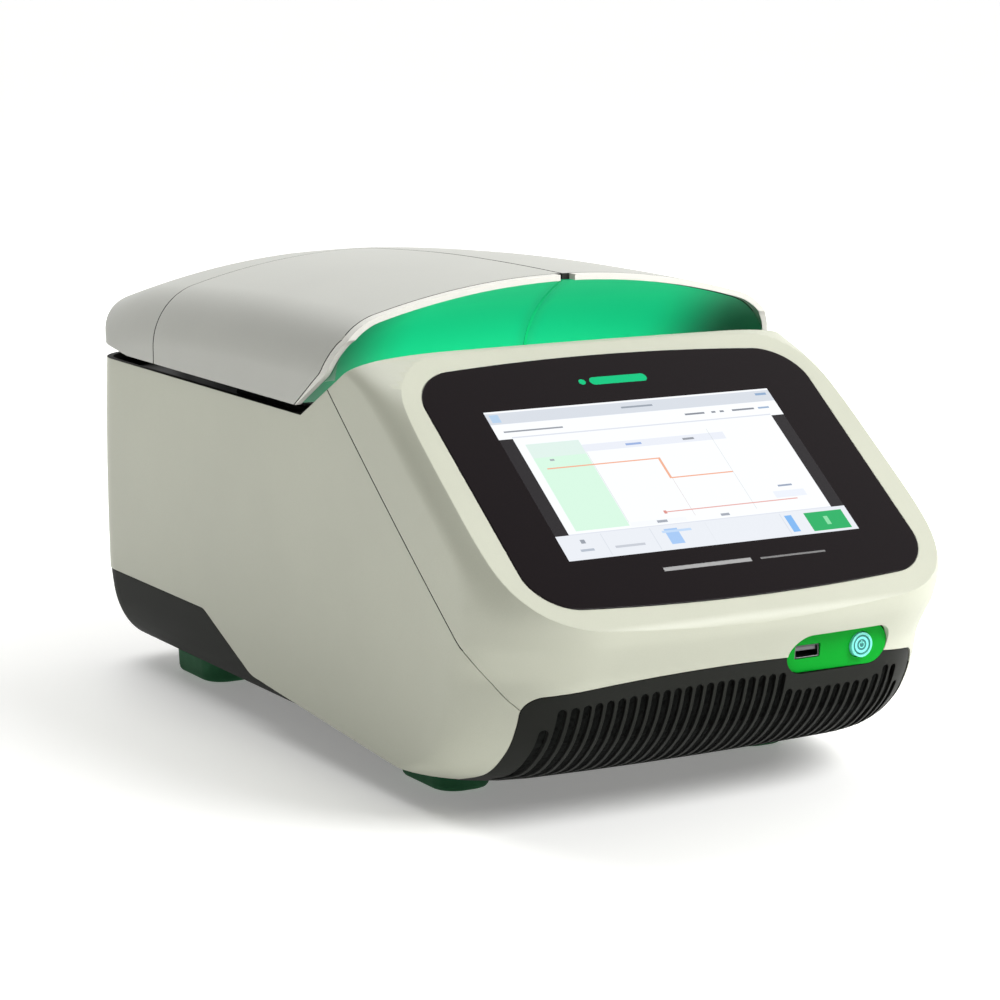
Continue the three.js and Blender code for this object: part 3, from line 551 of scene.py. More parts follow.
def circuit(name, colour):
    """Solder resist with tracks, pads and darker parts standing on it."""
    r = Recipe(name)
    x, y, z = r.axes()
    tracks = ((x * 0.31 + r.noise(30, 2) * 2).fraction() > 0.72) * ((y * 0.07).fraction() > 0.15)
    pads = r.cells(260) < 0.12
    part = z > BOARD_TOP
    tone = r.mix(tracks, colour, shade(colour, 1.7))
    tone = r.mix(pads, tone, (0.52, 0.50, 0.44))
    body = r.mix(r.noise(40, 3).rising(0.45, 0.55), (0.02, 0.02, 0.022), (0.05, 0.05, 0.06))
    tone = r.mix(part, tone, body)
    return r.set(Base_Color=tone, Roughness=0.35 + part * 0.2, Normal=r.bump(tracks, 0.05, 0.3))


def unglazed(name, colour):
    r = Recipe(name)
    grain = r.noise(900, 4)
    tone = r.mix(grain.rising(0.4, 0.7), shade(colour, 0.9), colour)
    return r.set(Base_Color=tone, Roughness=0.6 + grain * 0.2, Normal=r.bump(grain, 0.05, 0.3))


def lit_cove(name, colour):
    """The green cove, with a painted pool of green light from the LEDs below it in both colour and glow:
    brightest low in the middle, dying away towards the ends and the lip.
    """
    r = Recipe(name)
    x, y, z = r.axes()
    across = 1 - abs(x).rising(62, 117)
    height = 1 - (z - 186).rising(10, 46) * 0.45
    near_seam = 0.85 + 0.15 * abs(x).rising(0, 8)
    glow = (across * 0.95 + 0.05) * height * near_seam
    cloud = r.noise(18, 3)
    glow = glow * (0.94 + cloud * 0.12)
    # The base colour is painted light too: saturated green where the painted glow is strong, grey-green where
    # it fades.
    tone = r.mix(glow, (0.13, 0.24, 0.175), colour)
    light = r.mix(glow, (0.006, 0.014, 0.010), colour)
    fine = r.noise(1500, 2)
    return r.set(Base_Color=tone, Roughness=0.42 + fine * 0.1, Normal=r.bump(fine, 0.02, 0.2),
                 Emission_Color=light, Emission_Strength=0.76)


def light_guide(name, colour):
    """The ring's pale cyan light guide."""
    r = Recipe(name)
    fine = r.noise(900, 3)
    tone = r.mix(fine.rising(0.3, 0.8), shade(colour, 0.85), colour)
    return r.set(Base_Color=tone, Roughness=0.3 + fine * 0.1, Emission_Color=tone, Emission_Strength=0.2,
                 Coat_Weight=0.3)


def button_face(name, colour, glow):
    """The power button: green edge, dark teal gap, a cyan ring and the power sign in the middle."""
    r = Recipe(name)
    x, y, z = r.axes()
    dx, dz = x - BUTTON_X, z - CONTROL_Z
    reach = (dx * dx + dz * dz).root()
    front = 1 - y.rising(-214.6, -214.4)
    ring = reach.within(2.6, 3.7, 0.08)
    sign = reach.within(1.15, 1.55, 0.06) * (1 - (abs(dx) < 0.55) * (dz > 0))
    stroke = (abs(dx) < 0.2) * dz.within(0.6, 2.1, 0.05)
    fine = r.noise(700, 3)
    tone = r.mix(front, colour, r.mix(fine.rising(0.3, 0.8), (0.0, 0.16, 0.15), (0.0, 0.21, 0.19)))
    mark = (ring + sign.most(stroke)).least(1) * front
    tone = r.mix(mark, tone, glow)
    light = r.mix(mark, (0, 0, 0), glow)
    return r.set(Base_Color=tone, Roughness=0.3 + fine * 0.12, Emission_Color=light, Emission_Strength=0.35,
                 Coat_Weight=0.2)


# The picture on the display, top row first. Each entry is (left, right, top, bottom, colour) as
# fractions of the lit area.
WHITE = (0.93, 0.95, 0.97)
PICTURE = [
    (0.0, 1.0, 0.0, 0.19, WHITE),
    (0.046, 0.954, 0.19, 0.84, WHITE),
    (0.0, 1.0, 0.84, 1.0, (0.80, 0.83, 0.88)),
    (0.0, 1.0, 0.012, 0.088, (0.66, 0.70, 0.76)),
    (0.012, 0.042, 0.022, 0.075, (0.45, 0.62, 0.82)),
    (0.46, 0.57, 0.04, 0.052, (0.30, 0.34, 0.40)),
    (0.945, 0.985, 0.028, 0.044, (0.25, 0.38, 0.58)),
    (0.03, 0.23, 0.136, 0.146, (0.28, 0.30, 0.34)),
    (0.66, 0.73, 0.125, 0.137, (0.22, 0.24, 0.28)),
    (0.755, 0.77, 0.125, 0.137, (0.22, 0.24, 0.28)),
    (0.785, 0.80, 0.125, 0.137, (0.22, 0.24, 0.28)),
    (0.83, 0.91, 0.125, 0.137, (0.22, 0.24, 0.28)),
    (0.925, 0.965, 0.125, 0.137, (0.30, 0.42, 0.60)),
    (0.046, 0.954, 0.178, 0.186, (0.70, 0.73, 0.80)),
    (0.075, 0.255, 0.235, 0.82, (0.66, 0.91, 0.74)),
    (0.075, 0.255, 0.235, 0.33, (0.72, 0.86, 0.80)),
    (0.255, 0.75, 0.27, 0.318, (0.80, 0.83, 0.90)),
    (0.40, 0.455, 0.288, 0.302, (0.30, 0.42, 0.72)),
    (0.60, 0.64, 0.288, 0.302, (0.28, 0.30, 0.34)),
    (0.125, 0.14, 0.345, 0.357, (0.35, 0.38, 0.42)),
    (0.257, 0.2585, 0.32, 0.80, (0.62, 0.66, 0.66)),
    (0.485, 0.4865, 0.40, 0.80, (0.66, 0.58, 0.56)),
    (0.70, 0.7015, 0.24, 0.80, (0.62, 0.66, 0.66)),
    (0.10, 0.48, 0.402, 0.410, (0.88, 0.42, 0.26)),
    (0.478, 0.486, 0.402, 0.545, (0.88, 0.42, 0.26)),
    (0.486, 0.70, 0.538, 0.546, (0.88, 0.42, 0.26)),
    (0.40, 0.86, 0.755, 0.762, (0.78, 0.40, 0.36)),
    (0.39, 0.40, 0.748, 0.769, (0.70, 0.28, 0.24)),
    (0.82, 0.87, 0.66, 0.672, (0.30, 0.36, 0.48)),
    (0.79, 0.90, 0.70, 0.745, (0.82, 0.86, 0.93)),
    (0.26, 0.45, 0.80, 0.83, (0.90, 0.92, 0.95)),
    (0.35, 0.385, 0.806, 0.822, (0.35, 0.38, 0.44)),
    (0.57, 0.60, 0.806, 0.822, (0.35, 0.38, 0.44)),
    (0.046, 0.954, 0.836, 0.842, (0.72, 0.75, 0.82)),
    (0.07, 0.085, 0.875, 0.90, (0.30, 0.33, 0.38)),
    (0.055, 0.10, 0.935, 0.95, (0.45, 0.50, 0.58)),
    (0.145, 0.1475, 0.85, 0.99, (0.68, 0.72, 0.78)),
    (0.17, 0.27, 0.935, 0.95, (0.55, 0.58, 0.64)),
    (0.355, 0.40, 0.865, 0.965, (0.36, 0.56, 0.88)),
    (0.345, 0.445, 0.875, 0.89, (0.52, 0.68, 0.90)),
    (0.31, 0.3125, 0.85, 0.99, (0.68, 0.72, 0.78)),
    (0.50, 0.5025, 0.85, 0.99, (0.76, 0.79, 0.84)),
    (0.775, 0.80, 0.865, 0.975, (0.20, 0.46, 0.86)),
    (0.762, 0.765, 0.85, 0.99, (0.68, 0.72, 0.78)),
    (0.845, 0.98, 0.862, 0.985, (0.0, 0.42, 0.11)),
    (0.904, 0.919, 0.895, 0.95, (0.25, 0.72, 0.38)),
    (0.018, 0.030, 0.50, 0.53, (0.06, 0.05, 0.055)),
    (0.970, 0.982, 0.50, 0.53, (0.06, 0.05, 0.055)),
]


def touch_panel(name, colour):
    """Black-backed glass over the lit picture, with plain marks above and below it."""
    r = Recipe(name)
    x, y, z = r.axes()
    v = (y - DISPLAY.y) * math.cos(SLOPE) + (z - DISPLAY.z) * math.sin(SLOPE)
    n = (z - DISPLAY.z) * math.cos(SLOPE) - (y - DISPLAY.y) * math.sin(SLOPE)
    width, height = DISPLAY_SIZE
    across = x / width + 0.5
    down = 0.5 - v / height
    front = n > 0.1

    def patch(left, right, top, bottom):
        return (across > left) * (across < right) * (down > top) * (down < bottom)

    lit = patch(0, 1, 0, 0.19).most(patch(0.046, 0.954, 0.19, 0.84)).most(patch(0, 1, 0.84, 1)) * front
    picture = (0.012, 0.011, 0.013)
    for left, right, top, bottom, tone in PICTURE:
        picture = r.mix(patch(left, right, top, bottom), picture, tone)
    strips = patch(0, 1, 0.19, 0.84) * (1 - patch(0.046, 0.954, 0.19, 0.84)) * front

    bar = 1 - (((abs(x - 1.5) - 13).most(0)) ** 2 + (v - 61) ** 2).root().rising(2.35, 2.6)
    dot = 1 - ((x + 18) ** 2 + (v - 61) ** 2).root().rising(1.7, 1.9)
    mark = bar.most(dot) * front
    rule = x.within(-34, 12, 0.2) * v.within(-58.6, -56.4, 0.2) * front
    thin = x.within(17, 52, 0.2) * v.within(-58.0, -57.0, 0.2) * front

    smears = r.noise(14, 5)
    base = r.mix(strips, colour, (0.021, 0.019, 0.021))
    base = r.mix(mark, base, (0.0, 0.34, 0.13))
    base = r.mix((rule * 0.5).most(thin * 0.3), base, (0.62, 0.62, 0.62))
    base = r.mix(lit, base, (0.02, 0.02, 0.022))
    light = r.mix(lit, (0, 0, 0), picture)
    light = r.mix(mark * 0.25, light, (0.0, 0.5, 0.2))
    rough = 0.13 + (smears - 0.5) * 0.07 + r.noise(320, 4) * 0.03
    return r.set(Base_Color=base, Roughness=rough, Normal=r.edges(0.5)[0], Emission_Color=light,
                 Emission_Strength=1.02, Specular_IOR_Level=0.22)


# ---------------------------------------------------------------- case
FRONT_LINE = [(-150, 10), (-158, 14), (-186, 23.5), (-203, 37), (-211.5, 50), (-215.5, 62), (-217.5, 71),
              (-222.5, 79.5), (-229, 90), (-232, 105), (-222, 121.4), (-187.7, 147.8), (-142.8, 178.9),
              (-109, 193.1), (-92, 197.7), (-60, 203)]
FRONT_LEVELS = [(p.y, p.x) for p in spline(FRONT_LINE, 60)]


def case_half(z):
    """Half the case's width at one height."""
    return 122.2 - 2.6 * ((z - 100) / 95) ** 2


def case_ring(front, z, inset):
    outline = bowed(case_half(z) - inset, front + inset, REAR_Y - inset, FRONT_CORNER - inset,
                    REAR_CORNER - inset, front_bow=FRONT_BOW)
    return [Vector((p.x, p.y, z)) for p in outline]


def soft_case(inset, steps):
    return loft([case_ring(p.x, p.y, inset) for p in spline(FRONT_LINE, steps)])


def slope_z(y):
    return DISPLAY.z + math.tan(SLOPE) * (y - DISPLAY.y)


def case_side():
    return prism("x", filleted([
        (NOSE_Y, 0), (240, 0), (240, RIM_Z), (*NOTCH, 1.5), (*RIDGE, 3), (NOSE_Y, slope_z(NOSE_Y), 9),
    ]), -FAR, FAR)


def cavity_side():
    back = (RIDGE[1] - NOTCH[1]) / (NOTCH[0] - RIDGE[0])
    inner_slope = lambda y: slope_z(y) - 4 / math.cos(SLOPE)
    deck_z = NOTCH[1] - back * (-19 - NOTCH[0]) - WALL * math.hypot(1, back)
    return prism("x", filleted([
        (-250, 0), (240, 0), (240, 260), (-19, 260), (-19, deck_z), (RIDGE[0], inner_slope(RIDGE[0])),
        (-250, inner_slope(-250)),
    ]), -FAR, FAR)


def fascia_side(shift):
    return prism("x", filleted([
        (-40, 187.7 + shift), (-184, 79.5 + shift, 40), (-201, 56 + shift), (-260, 56 + shift), (-260, 260),
        (-40, 260),
    ], 16), -FAR, FAR)


def housing_side(shift):
    return prism("x", filleted([
        (250, 51.5 + shift), (250, 300), (-250, 300), (-250, 12.5 + shift), (-118, 16 + shift, 20),
        (4, 25.2 + shift, 40), (36, 27.8 + shift, 26), (89, 51.5 + shift, 14),
    ]), -FAR, FAR)


def grille_edge(x, inset):
    return GRILLE_CROWN - inset - x * x / (2 * 752)


def grille_front(inset):
    half = 104 - inset
    xs = [half * (0.84 - 1.68 * k / 16) for k in range(17)]
    top = grille_edge(half, inset)
    return prism("y", filleted([
        (-half, GRILLE_FOOT), (half, GRILLE_FOOT), (half, top, 9), *[(x, grille_edge(x, inset)) for x in xs],
        (-half, top, 9),
    ]), -250, -120)


def pod_outline(inset):
    width, height = POD["width"] - 2 * inset, POD["height"] - 2 * inset
    return rounded(width, height, height / 2 - 0.01, 16, POD["x"], POD["z"])


def pod_pocket():
    return prism("y", pod_outline(0), -260, -204)


def glass_outline(inset):
    return bowed(104 - inset, -78 + inset, 78 - inset, 21 - inset, 21 - inset, 950, 950, arc=18)


def make_case(finish, inner):
    """The two skins of the case: the housing round the back, and the fascia round the display."""
    shell = carve(soft_case(0, 110), case_side(), "INTERSECT")
    cavity = carve(soft_case(WALL, 40), cavity_side(), "INTERSECT")
    shell = carve(shell, cavity)

    fascia = carve(copied(shell), fascia_side(SEAM / 2), "INTERSECT")
    carve(fascia, slope_prism(glass_outline(-GAP), -2.1, 20))
    carve(fascia, slope_prism(rounded(166, 106, 4), -30, 20))
    carve(fascia, grille_front(-GAP))
    carve(fascia, pod_pocket())
    finish_piece(fascia, "case_fascia", "base", finish, ["fascia"])
    paint_inner_shade(fascia, inner, in_case)

    housing = carve(shell, fascia_side(-SEAM / 2))
    carve(housing, housing_side(0), "INTERSECT")
    carve(housing, grille_front(-GAP))
    carve(housing, pod_pocket())
    carve(housing, block(-88, 88, 215, 240, 62, 148))
    finish_piece(housing, "case_housing", "base", finish, ["housing"])
    paint_inner_shade(housing, inner, in_case)


TRAY_ROLL = [(12, 24), (13.4, 18.5), (16.5, 13), (21, 8.5), (28, 4.6), (38, 1.8), (53, 0.3)]


def make_tray(finish):
    """The dark tray whose edge rolls under, seen below the housing's S-shaped edge."""
    roll = spline(TRAY_ROLL, 36)

    def rings(inset, lift):
        levels = [case_ring(-163, p.x + lift, p.y + inset) for p in roll]
        return loft([*levels, case_ring(-163, 60, 0.3 + inset)])

    tray = carve(rings(0, 0), rings(WALL, 3))
    carve(tray, housing_side(-GAP))
    slots = [prism("z", rounded(60, 5, 2.4, 6, side * 50, -37.5 + 12 * k), 5, 20)
             for _, side in SIDES for k in range(6)]
    carve(tray, join(slots))
    finish_piece(tray, "case_base_tray", "base", finish, ["base_tray"])


def make_grille(count, pitch, width, finish, inner):
    """The chin grille: a curved frame with round-ended slots that step down under the pod."""
    grille = carve(soft_case(GRILLE_SINK, 60), soft_case(GRILLE_SINK + GRILLE_WALL, 60))
    carve(grille, grille_front(GAP / 2), "INTERSECT")
    carve(grille, pod_pocket())
    slots = []
    for k in range(count):
        x = (k - (count - 1) / 2) * pitch
        rim = grille_edge(x, 0) - 7
        under = POD["z"] - POD["height"] / 2 - 7.5 + 0.03 * max(0, abs(x - POD["x"]) - 18) ** 2
        top = min(rim, under) if abs(x - POD["x"]) < POD["width"] / 2 + 1 else rim
        if abs(x) > 90:
            top = rim - 9
        slot = rounded(width, top - SLOT_FOOT, width / 2 - 0.01, 6, x, (top + SLOT_FOOT) / 2)
        slots.append(prism("y", slot, -240, -130))
    carve(grille, join(slots))
    finish_piece(grille, "chin_grille", "base", finish, ["front_grille"])
    paint_inner_shade(grille, inner, behind_face)


def make_feet(finish):
    """Moulded feet with a rolled lower edge."""
    for row in ("front", "rear"):
        for name, _ in SIDES:
            node = f"foot_{row}_{name}"
            low, high = (Vector(corner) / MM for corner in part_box(node))
            middle = (low + high) / 2
            size = high - low
            levels = [(0, 2.6), (0.4, 1.6), (1.4, 0.8), (3, 0.4), (high.z, 0)]
            foot = loft([[Vector((p.x, p.y, z)) for p in
                          rounded(size.x - 2 * inset, size.y - 2 * inset, FOOT_CORNER - inset, 12,
                                  *middle.xy)]
                         for z, inset in levels])
            finish_piece(foot, f"rubber_{node}", "base", finish, [node])


# ---------------------------------------------------------------- display and controls
def make_glass(finish):
    glass = slope_prism(glass_outline(0), -1.8, 0.2)
    finish_piece(glass, "display_touch_glass", "base", finish, ["touch_glass"])


def make_pod(green, ring_finish, button_finish):
    """The green port pod, with its cyan ring and the button inside it."""
    (y0, z0), (y1, z1) = POD["face"]
    lean = filleted([(y0, z0), (POD["back"], z0), (POD["back"], z1), (y1, z1)])
    plate = carve(prism("y", pod_outline(GAP), -225, POD["back"]), prism("x", lean, 0, FAR), "INTERSECT")
    carve(plate, prism("y", circle(6.1, 64, BUTTON_X, CONTROL_Z), -230, -200))
    carve(plate, prism("y", rounded(13.8, 6.4, 0.8, 5, USB_X, CONTROL_Z), -230, -200))
    finish_piece(plate, "chin_port_pod", "base", green, ["port_pod"])

    ring = prism("y", circle(5.7, 64, BUTTON_X, CONTROL_Z), -215.1, -206)
    carve(ring, prism("y", circle(4.6, 64, BUTTON_X, CONTROL_Z), -216, -205))
    finish_piece(ring, "chin_power_ring", "base", ring_finish, ["power_ring"])

    cap = prism("y", circle(4.2, 64, BUTTON_X, CONTROL_Z), -214.9, -207)
    stem = prism("y", circle(1.8, 32, BUTTON_X, CONTROL_Z), -207.5, -202)
    button = carve(cap, stem, "UNION")
    finish_piece(button, "chin_power_button", "start_button", button_finish, ["power_button"])


# ---------------------------------------------------------------- lids
CROWN = [
    (-76, 228.2), (-20, 228.8), (40, 228.2), (90, 226.2), (COWL_SEAM_Y, 222.6), (190, 217.2), (236, 206.5),
]
ARCH_TOP = 228.4
CROWN_RADIUS = 360
SHOULDER_RADIUS = 32


def arch(crown_z, inset):
    """The right half of the arch over the lid: crown arc, shoulder arc, upright side."""
    width, shoulder, crown = LID_HALF - inset, SHOULDER_RADIUS - inset, CROWN_RADIUS - inset
    centre = crown_z - inset - crown
    run = width - shoulder
    lean = math.asin(run / (crown - shoulder))
    shoulder_z = centre + (crown - shoulder) * math.cos(lean)
    angles = [lean * k / 20 for k in range(21)]
    points = [(crown * math.sin(angle), centre + crown * math.cos(angle)) for angle in angles]
    for k in range(1, 19):
        angle = lean + (math.pi / 2 - lean) * k / 18
        points.append((run + shoulder * math.sin(angle), shoulder_z + shoulder * math.cos(angle)))
    return points


def arch_solid(inset, low):
    rings = []
    for p in spline(CROWN, 54):
        right = arch(p.y, inset)
        left = [(-x, z) for x, z in right[:0:-1]]
        foot = LID_HALF - inset
        outline = [(-foot, low), *left, *right, (foot, low)]
        rings.append([Vector((x, p.x, z)) for x, z in outline])
    return loft(rings)


def lid_plan(front, inset):
    outline = bowed(LID_HALF - inset, front, LID_REAR_Y - inset, 9, REAR_CORNER - inset, front_bow=2000)
    return prism("z", outline, 100, 300)


def lid_side(front):
    return prism("x", filleted([
        *front, (-110, 270), (120, 270), (120, 227.5), (LID_REAR_Y, 210, 22), (LID_REAR_Y + 0.01, 175.4),
        (178, LID_BOTTOM, 30),
    ], 14), -FAR, FAR)


LIP_SIDE = [(-20.5, LID_BOTTOM), (-52, 187.6, 14), (-60.5, 204, 10), (-110, 226)]
SEAM_SIDE = [(-18.8, LID_BOTTOM), (-45.5, 187.6, 10), (-54.5, 204, 10), (-104, 226)]
COVE_FOOT = (-22, LID_BOTTOM + 1)
COVE_POWER = 2.9
DIFFUSER = 2.4
COVE_STATIONS = [
    0, 8, 16, 24, 32, 40, 48, 56, 64, 71, 77, 83, 88, 92.5, 97, 100.5, 104, 107, 110, 112.4, 114.5, 116.4,
    118,
]
COVE_END = 119.2


def arch_height(x, inset):
    return level_at(arch(ARCH_TOP, inset), x)


def cove_curve(x, shift, drop):
    """The light cove at one station: upright at its foot, sweeping forward to the lip."""
    top_y = LIP_Y + x * x / 4000 + 5.5
    top_z = arch_height(x, LID_WALL + drop)
    return [(COVE_FOOT[0] + shift + (top_y - COVE_FOOT[0]) * (k / 22) ** COVE_POWER,
             COVE_FOOT[1] + (top_z - COVE_FOOT[1]) * k / 22) for k in range(23)]


def cove_slab(start, front_of, back_of):
    stations = [start, *COVE_STATIONS[1:], COVE_END]
    return loft([[Vector((x, y, z)) for y, z in [*back_of(x), *front_of(x)[::-1]]] for x in stations])


def cove_void():
    return cove_slab(-5, lambda x: [(-140, z) for _, z in cove_curve(max(x, 0), -140, 0)],
                     lambda x: cove_curve(max(x, 0), DIFFUSER + 0.4, 0))


def below_cove():
    return block(-5, COVE_END, -140, -18.9, 150, COVE_FOOT[1] + 0.01)


def lid_skin():
    outer = carve(arch_solid(0, 150), lid_plan(LIP_Y, 0), "INTERSECT")
    carve(outer, lid_side(LIP_SIDE), "INTERSECT")
    carve(outer, block(0.5, 200, -200, 300, 100, 300), "INTERSECT")
    inner = carve(arch_solid(LID_WALL, 140), lid_plan(-120, LID_WALL), "INTERSECT")
    carve(inner, block(0.5 + LID_WALL, 200, -200, 300, 100, 300), "INTERSECT")
    rear = LID_REAR_Y - LID_WALL
    carve(inner, prism("x", filleted([
        (-130, 120), (-130, 270), (120, 270), (120, 224.5), (rear, 207.2, 20), (rear, 120),
    ]), -FAR, FAR), "INTERSECT")
    return carve(outer, inner)


def both_lids(right, piece, finish, node, inner=None):
    """Places a right-hand piece and its mirror image on their lids."""
    left = mirrored(right, "form")
    for thing, side in ((left, "left"), (right, "right")):
        finish_piece(thing, f"{piece}_{side}", f"lid_{side}", finish, [f"{node}_{side}"])
        if inner:
            paint_inner_shade(thing, inner, in_lid)


def make_lids(shell_finish, trim_finish, cove_finish, inner):
    skin = lid_skin()
    shell = carve(copied(skin), block(-5, 140, -200, COWL_SEAM_Y - LID_SEAM, 100, 300), "INTERSECT")
    front = carve(lid_plan(LIP_Y + BAND_WIDTH, 0), lid_side(SEAM_SIDE), "INTERSECT")
    carve(shell, front, "INTERSECT")
    carve(shell, cove_void())
    carve(shell, below_cove())
    both_lids(shell, "lid_top", shell_finish, "lid_shell", inner)

    cowl = carve(copied(skin), block(-5, 140, COWL_SEAM_Y, 300, 100, 300), "INTERSECT")
    carve(cowl, block(10, 108, 214, 240, 100, 190))
    both_lids(cowl, "lid_rear_cowl", shell_finish, "lid_cowl", inner)

    behind = carve(lid_plan(LIP_Y + BAND_WIDTH - LID_SEAM, -1),
                   lid_side([(p[0] - LID_SEAM, *p[1:]) for p in SEAM_SIDE]), "INTERSECT")
    band = carve(skin, behind)
    carve(band, cove_void())
    carve(band, below_cove())
    carve(band, block(4, 140, -100, 20, 150, 240), "INTERSECT")
    both_lids(band, "lid_lip_band", trim_finish, "lid_trim")

    cove = cove_slab(0.8, lambda x: cove_curve(x, 0, 0.35), lambda x: cove_curve(x, DIFFUSER, 0.35))
    both_lids(cove, "lid_light_cove", cove_finish, "lid_diffuser")


# ---------------------------------------------------------------- blocks and inner pieces
def make_blocks(columns, rows, pitch, finish):
    """Machined blocks with a countersunk cone for every tube."""
    for name, side in SIDES:
        node = f"sample_block_{name}"
        low, high = (Vector(corner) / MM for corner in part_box(node))
        cx, cy, top = (low.x + high.x) / 2, (low.y + high.y) / 2, high.z
        plate = carve(block(cx - 31, cx + 31, cy - 41, cy + 41, 144, top),
                      block(low.x, high.x, low.y, high.y, low.z, 145), "UNION")
        wells = []
        for column in range(columns):
            for row in range(rows):
                x = cx + (column - (columns - 1) / 2) * pitch
                y = cy + (row - (rows - 1) / 2) * pitch
                levels = [(top - 15, 1.3), (top - 1.2, 2.7), (top - 0.6, 2.9), (top + 0.5, 3.7)]
                rings = [[Vector((p.x, p.y, z)) for p in circle(radius, 24, x, y)] for z, radius in levels]
                wells.append(loft(rings))
        carve(plate, join(wells))
        finish_piece(plate, f"machined_block_{name}", "base", finish, [node])


# ---------------------------------------------------------------- settings
FLOOR_REACH = 60       # metres
FLOOR_DROP = -0.0004


def tone(name, description, default):
    return FloatVectorProperty(name=name, description=description, default=default, size=3, min=0, max=1,
                               subtype="COLOR")


class CyclerCase(bpy.types.PropertyGroup):
    colour: tone("Case colour", "Moulded case of the machine", (0.520, 0.530, 0.436))
    dark: tone("Tray colour", "Base tray, grille and rear panel", (0.0135, 0.0145, 0.0120))
    feet: tone("Feet colour", "Rubber feet", (0.006, 0.11, 0.035))
    roughness: FloatProperty(name="Case roughness", description="How matt the case is", default=0.46,
                             min=0, max=1, subtype="FACTOR")


class CyclerGrille(bpy.types.PropertyGroup):
    slots: IntProperty(name="Slots", description="How many slots the chin grille has", default=35, min=5,
                       max=60)
    pitch: FloatProperty(name="Pitch", description="Slot spacing in millimetres", default=5.5, min=3,
                         max=12)
    width: FloatProperty(name="Width", description="Slot width in millimetres", default=3.9, min=1, max=8)


class CyclerControls(bpy.types.PropertyGroup):
    glass: tone("Glass colour", "Black back of the touch glass", (0.0056, 0.0030, 0.0040))
    pod: tone("Pod colour", "Green port pod", (0.0, 0.34, 0.022))
    glow: tone("Glow colour", "Light guides of the power button", (0.15, 0.70, 0.60))


class CyclerLids(bpy.types.PropertyGroup):
    colour: tone("Lid colour", "Lid shells and cowls", (0.45, 0.455, 0.415))
    band: tone("Band colour", "Band along the lip", (0.72, 0.71, 0.655))
    light: tone("Cove light", "Lit colour of the cove", (0.010, 0.66, 0.26))


class CyclerBlocks(bpy.types.PropertyGroup):
    columns: IntProperty(name="Columns", description="Wells across one block", default=6, min=1, max=12)
    rows: IntProperty(name="Rows", description="Wells along one block", default=8, min=1, max=16)
    pitch: FloatProperty(name="Pitch", description="Well spacing in millimetres", default=9, min=4, max=20)


class CyclerStage(bpy.types.PropertyGroup):
    lens: FloatProperty(name="Lens", description="Focal length in millimetres", default=116, min=20,
                        max=300)
    key: FloatProperty(name="Key light", description="Power of the main soft light", default=55,
                       min=0, max=500, subtype="POWER")
    fill: FloatProperty(name="Fill light", description="Power of the left soft light", default=0.2,
                        min=0, max=500, subtype="POWER")
    sky: FloatProperty(name="Surround", description="Brightness of the pale surround", default=1.1,
                       min=0, max=5)
    shade: FloatProperty(name="Shaded side", description="How bright the surround stays on the shaded side",
                         default=0.05, min=0, max=1, subtype="FACTOR")


def pale_surround(strength, shaded):
    """A plain pale surround, dimmer on the machine's left and overhead."""
    world = bpy.data.worlds.new("surround")
    world.use_nodes = True
    tree = world.node_tree
    background = next(n for n in tree.nodes if n.type == "BACKGROUND")
    where = tree.nodes.new("ShaderNodeTexCoord")
    side = tree.nodes.new("ShaderNodeVectorMath")
    side.operation = "DOT_PRODUCT"
    side.inputs[1].default_value = (0.62, 0.62, -0.48)
    ramp = tree.nodes.new("ShaderNodeMapRange")
    ramp.interpolation_type = "SMOOTHSTEP"
    ramp.inputs["From Min"].default_value = -0.45
    ramp.inputs["From Max"].default_value = 0.55
    ramp.inputs["To Min"].default_value = strength * shaded
    ramp.inputs["To Max"].default_value = strength
    tree.links.new(where.outputs["Generated"], side.inputs[0])
    tree.links.new(side.outputs["Value"], ramp.inputs["Value"])
    tree.links.new(ramp.outputs["Result"], background.inputs["Strength"])
    background.inputs["Color"].default_value = (1.0, 1.0, 0.985, 1)
    return world


# ---------------------------------------------------------------- operators
class BuildCase(bpy.types.Operator):
    """Builds the case skins, the base tray and the feet"""

    bl_idname = "cycler.build_case"
    bl_label = "Case, Tray and Feet"

    def execute(self, context):
        case = context.scene.cycler_case
        # The second finish is painted shade: a darker copy of the tray colour on the case's inside faces and
        # seam walls.
        make_case(moulded("case_plastic", tuple(case.colour), case.roughness, 0.28, 0.7, 0.45,
                          (0.98, 1, 0.97)),
                  moulded("case_inner_painted_shade", shade(tuple(case.dark), 0.8), 0.7, 0.5, 0.4, 0.2))
        make_tray(moulded("tray_plastic", tuple(case.dark), 0.6, 0.5, 0.6, 0.1))
        make_feet(rubber("foot_rubber", tuple(case.feet)))
        return {"FINISHED"}


class BuildGrille(bpy.types.Operator):
    """Builds the chin grille"""

    bl_idname = "cycler.build_grille"
    bl_label = "Chin Grille"

    def execute(self, context):
        grille = context.scene.cycler_grille
        dark = tuple(context.scene.cycler_case.dark)
        # The second finish is painted shade: the slot walls and back faces are far darker than the grille's
        # front.
        make_grille(grille.slots, grille.pitch, grille.width,
                    moulded("grille_plastic", dark, 0.55, 0.4, 0.35, 0.12),
                    moulded("slot_wall_painted_shade", shade(dark, 0.4), 0.6, 0.4, 0.3, 0.2))
        return {"FINISHED"}


class BuildControls(bpy.types.Operator):
    """Builds the touch glass, the port pod and the power button"""

    bl_idname = "cycler.build_controls"
    bl_label = "Display and Pod"

    def execute(self, context):
        controls = context.scene.cycler_controls
        make_glass(touch_panel("touch_glass_and_picture", tuple(controls.glass)))
        make_pod(moulded("pod_plastic", tuple(controls.pod), 0.42, 0.15, 0.4, 0.08),
                 light_guide("ring_light_guide", tuple(controls.glow)),
                 button_face("power_button_face", tuple(controls.pod), tuple(controls.glow)))
        return {"FINISHED"}


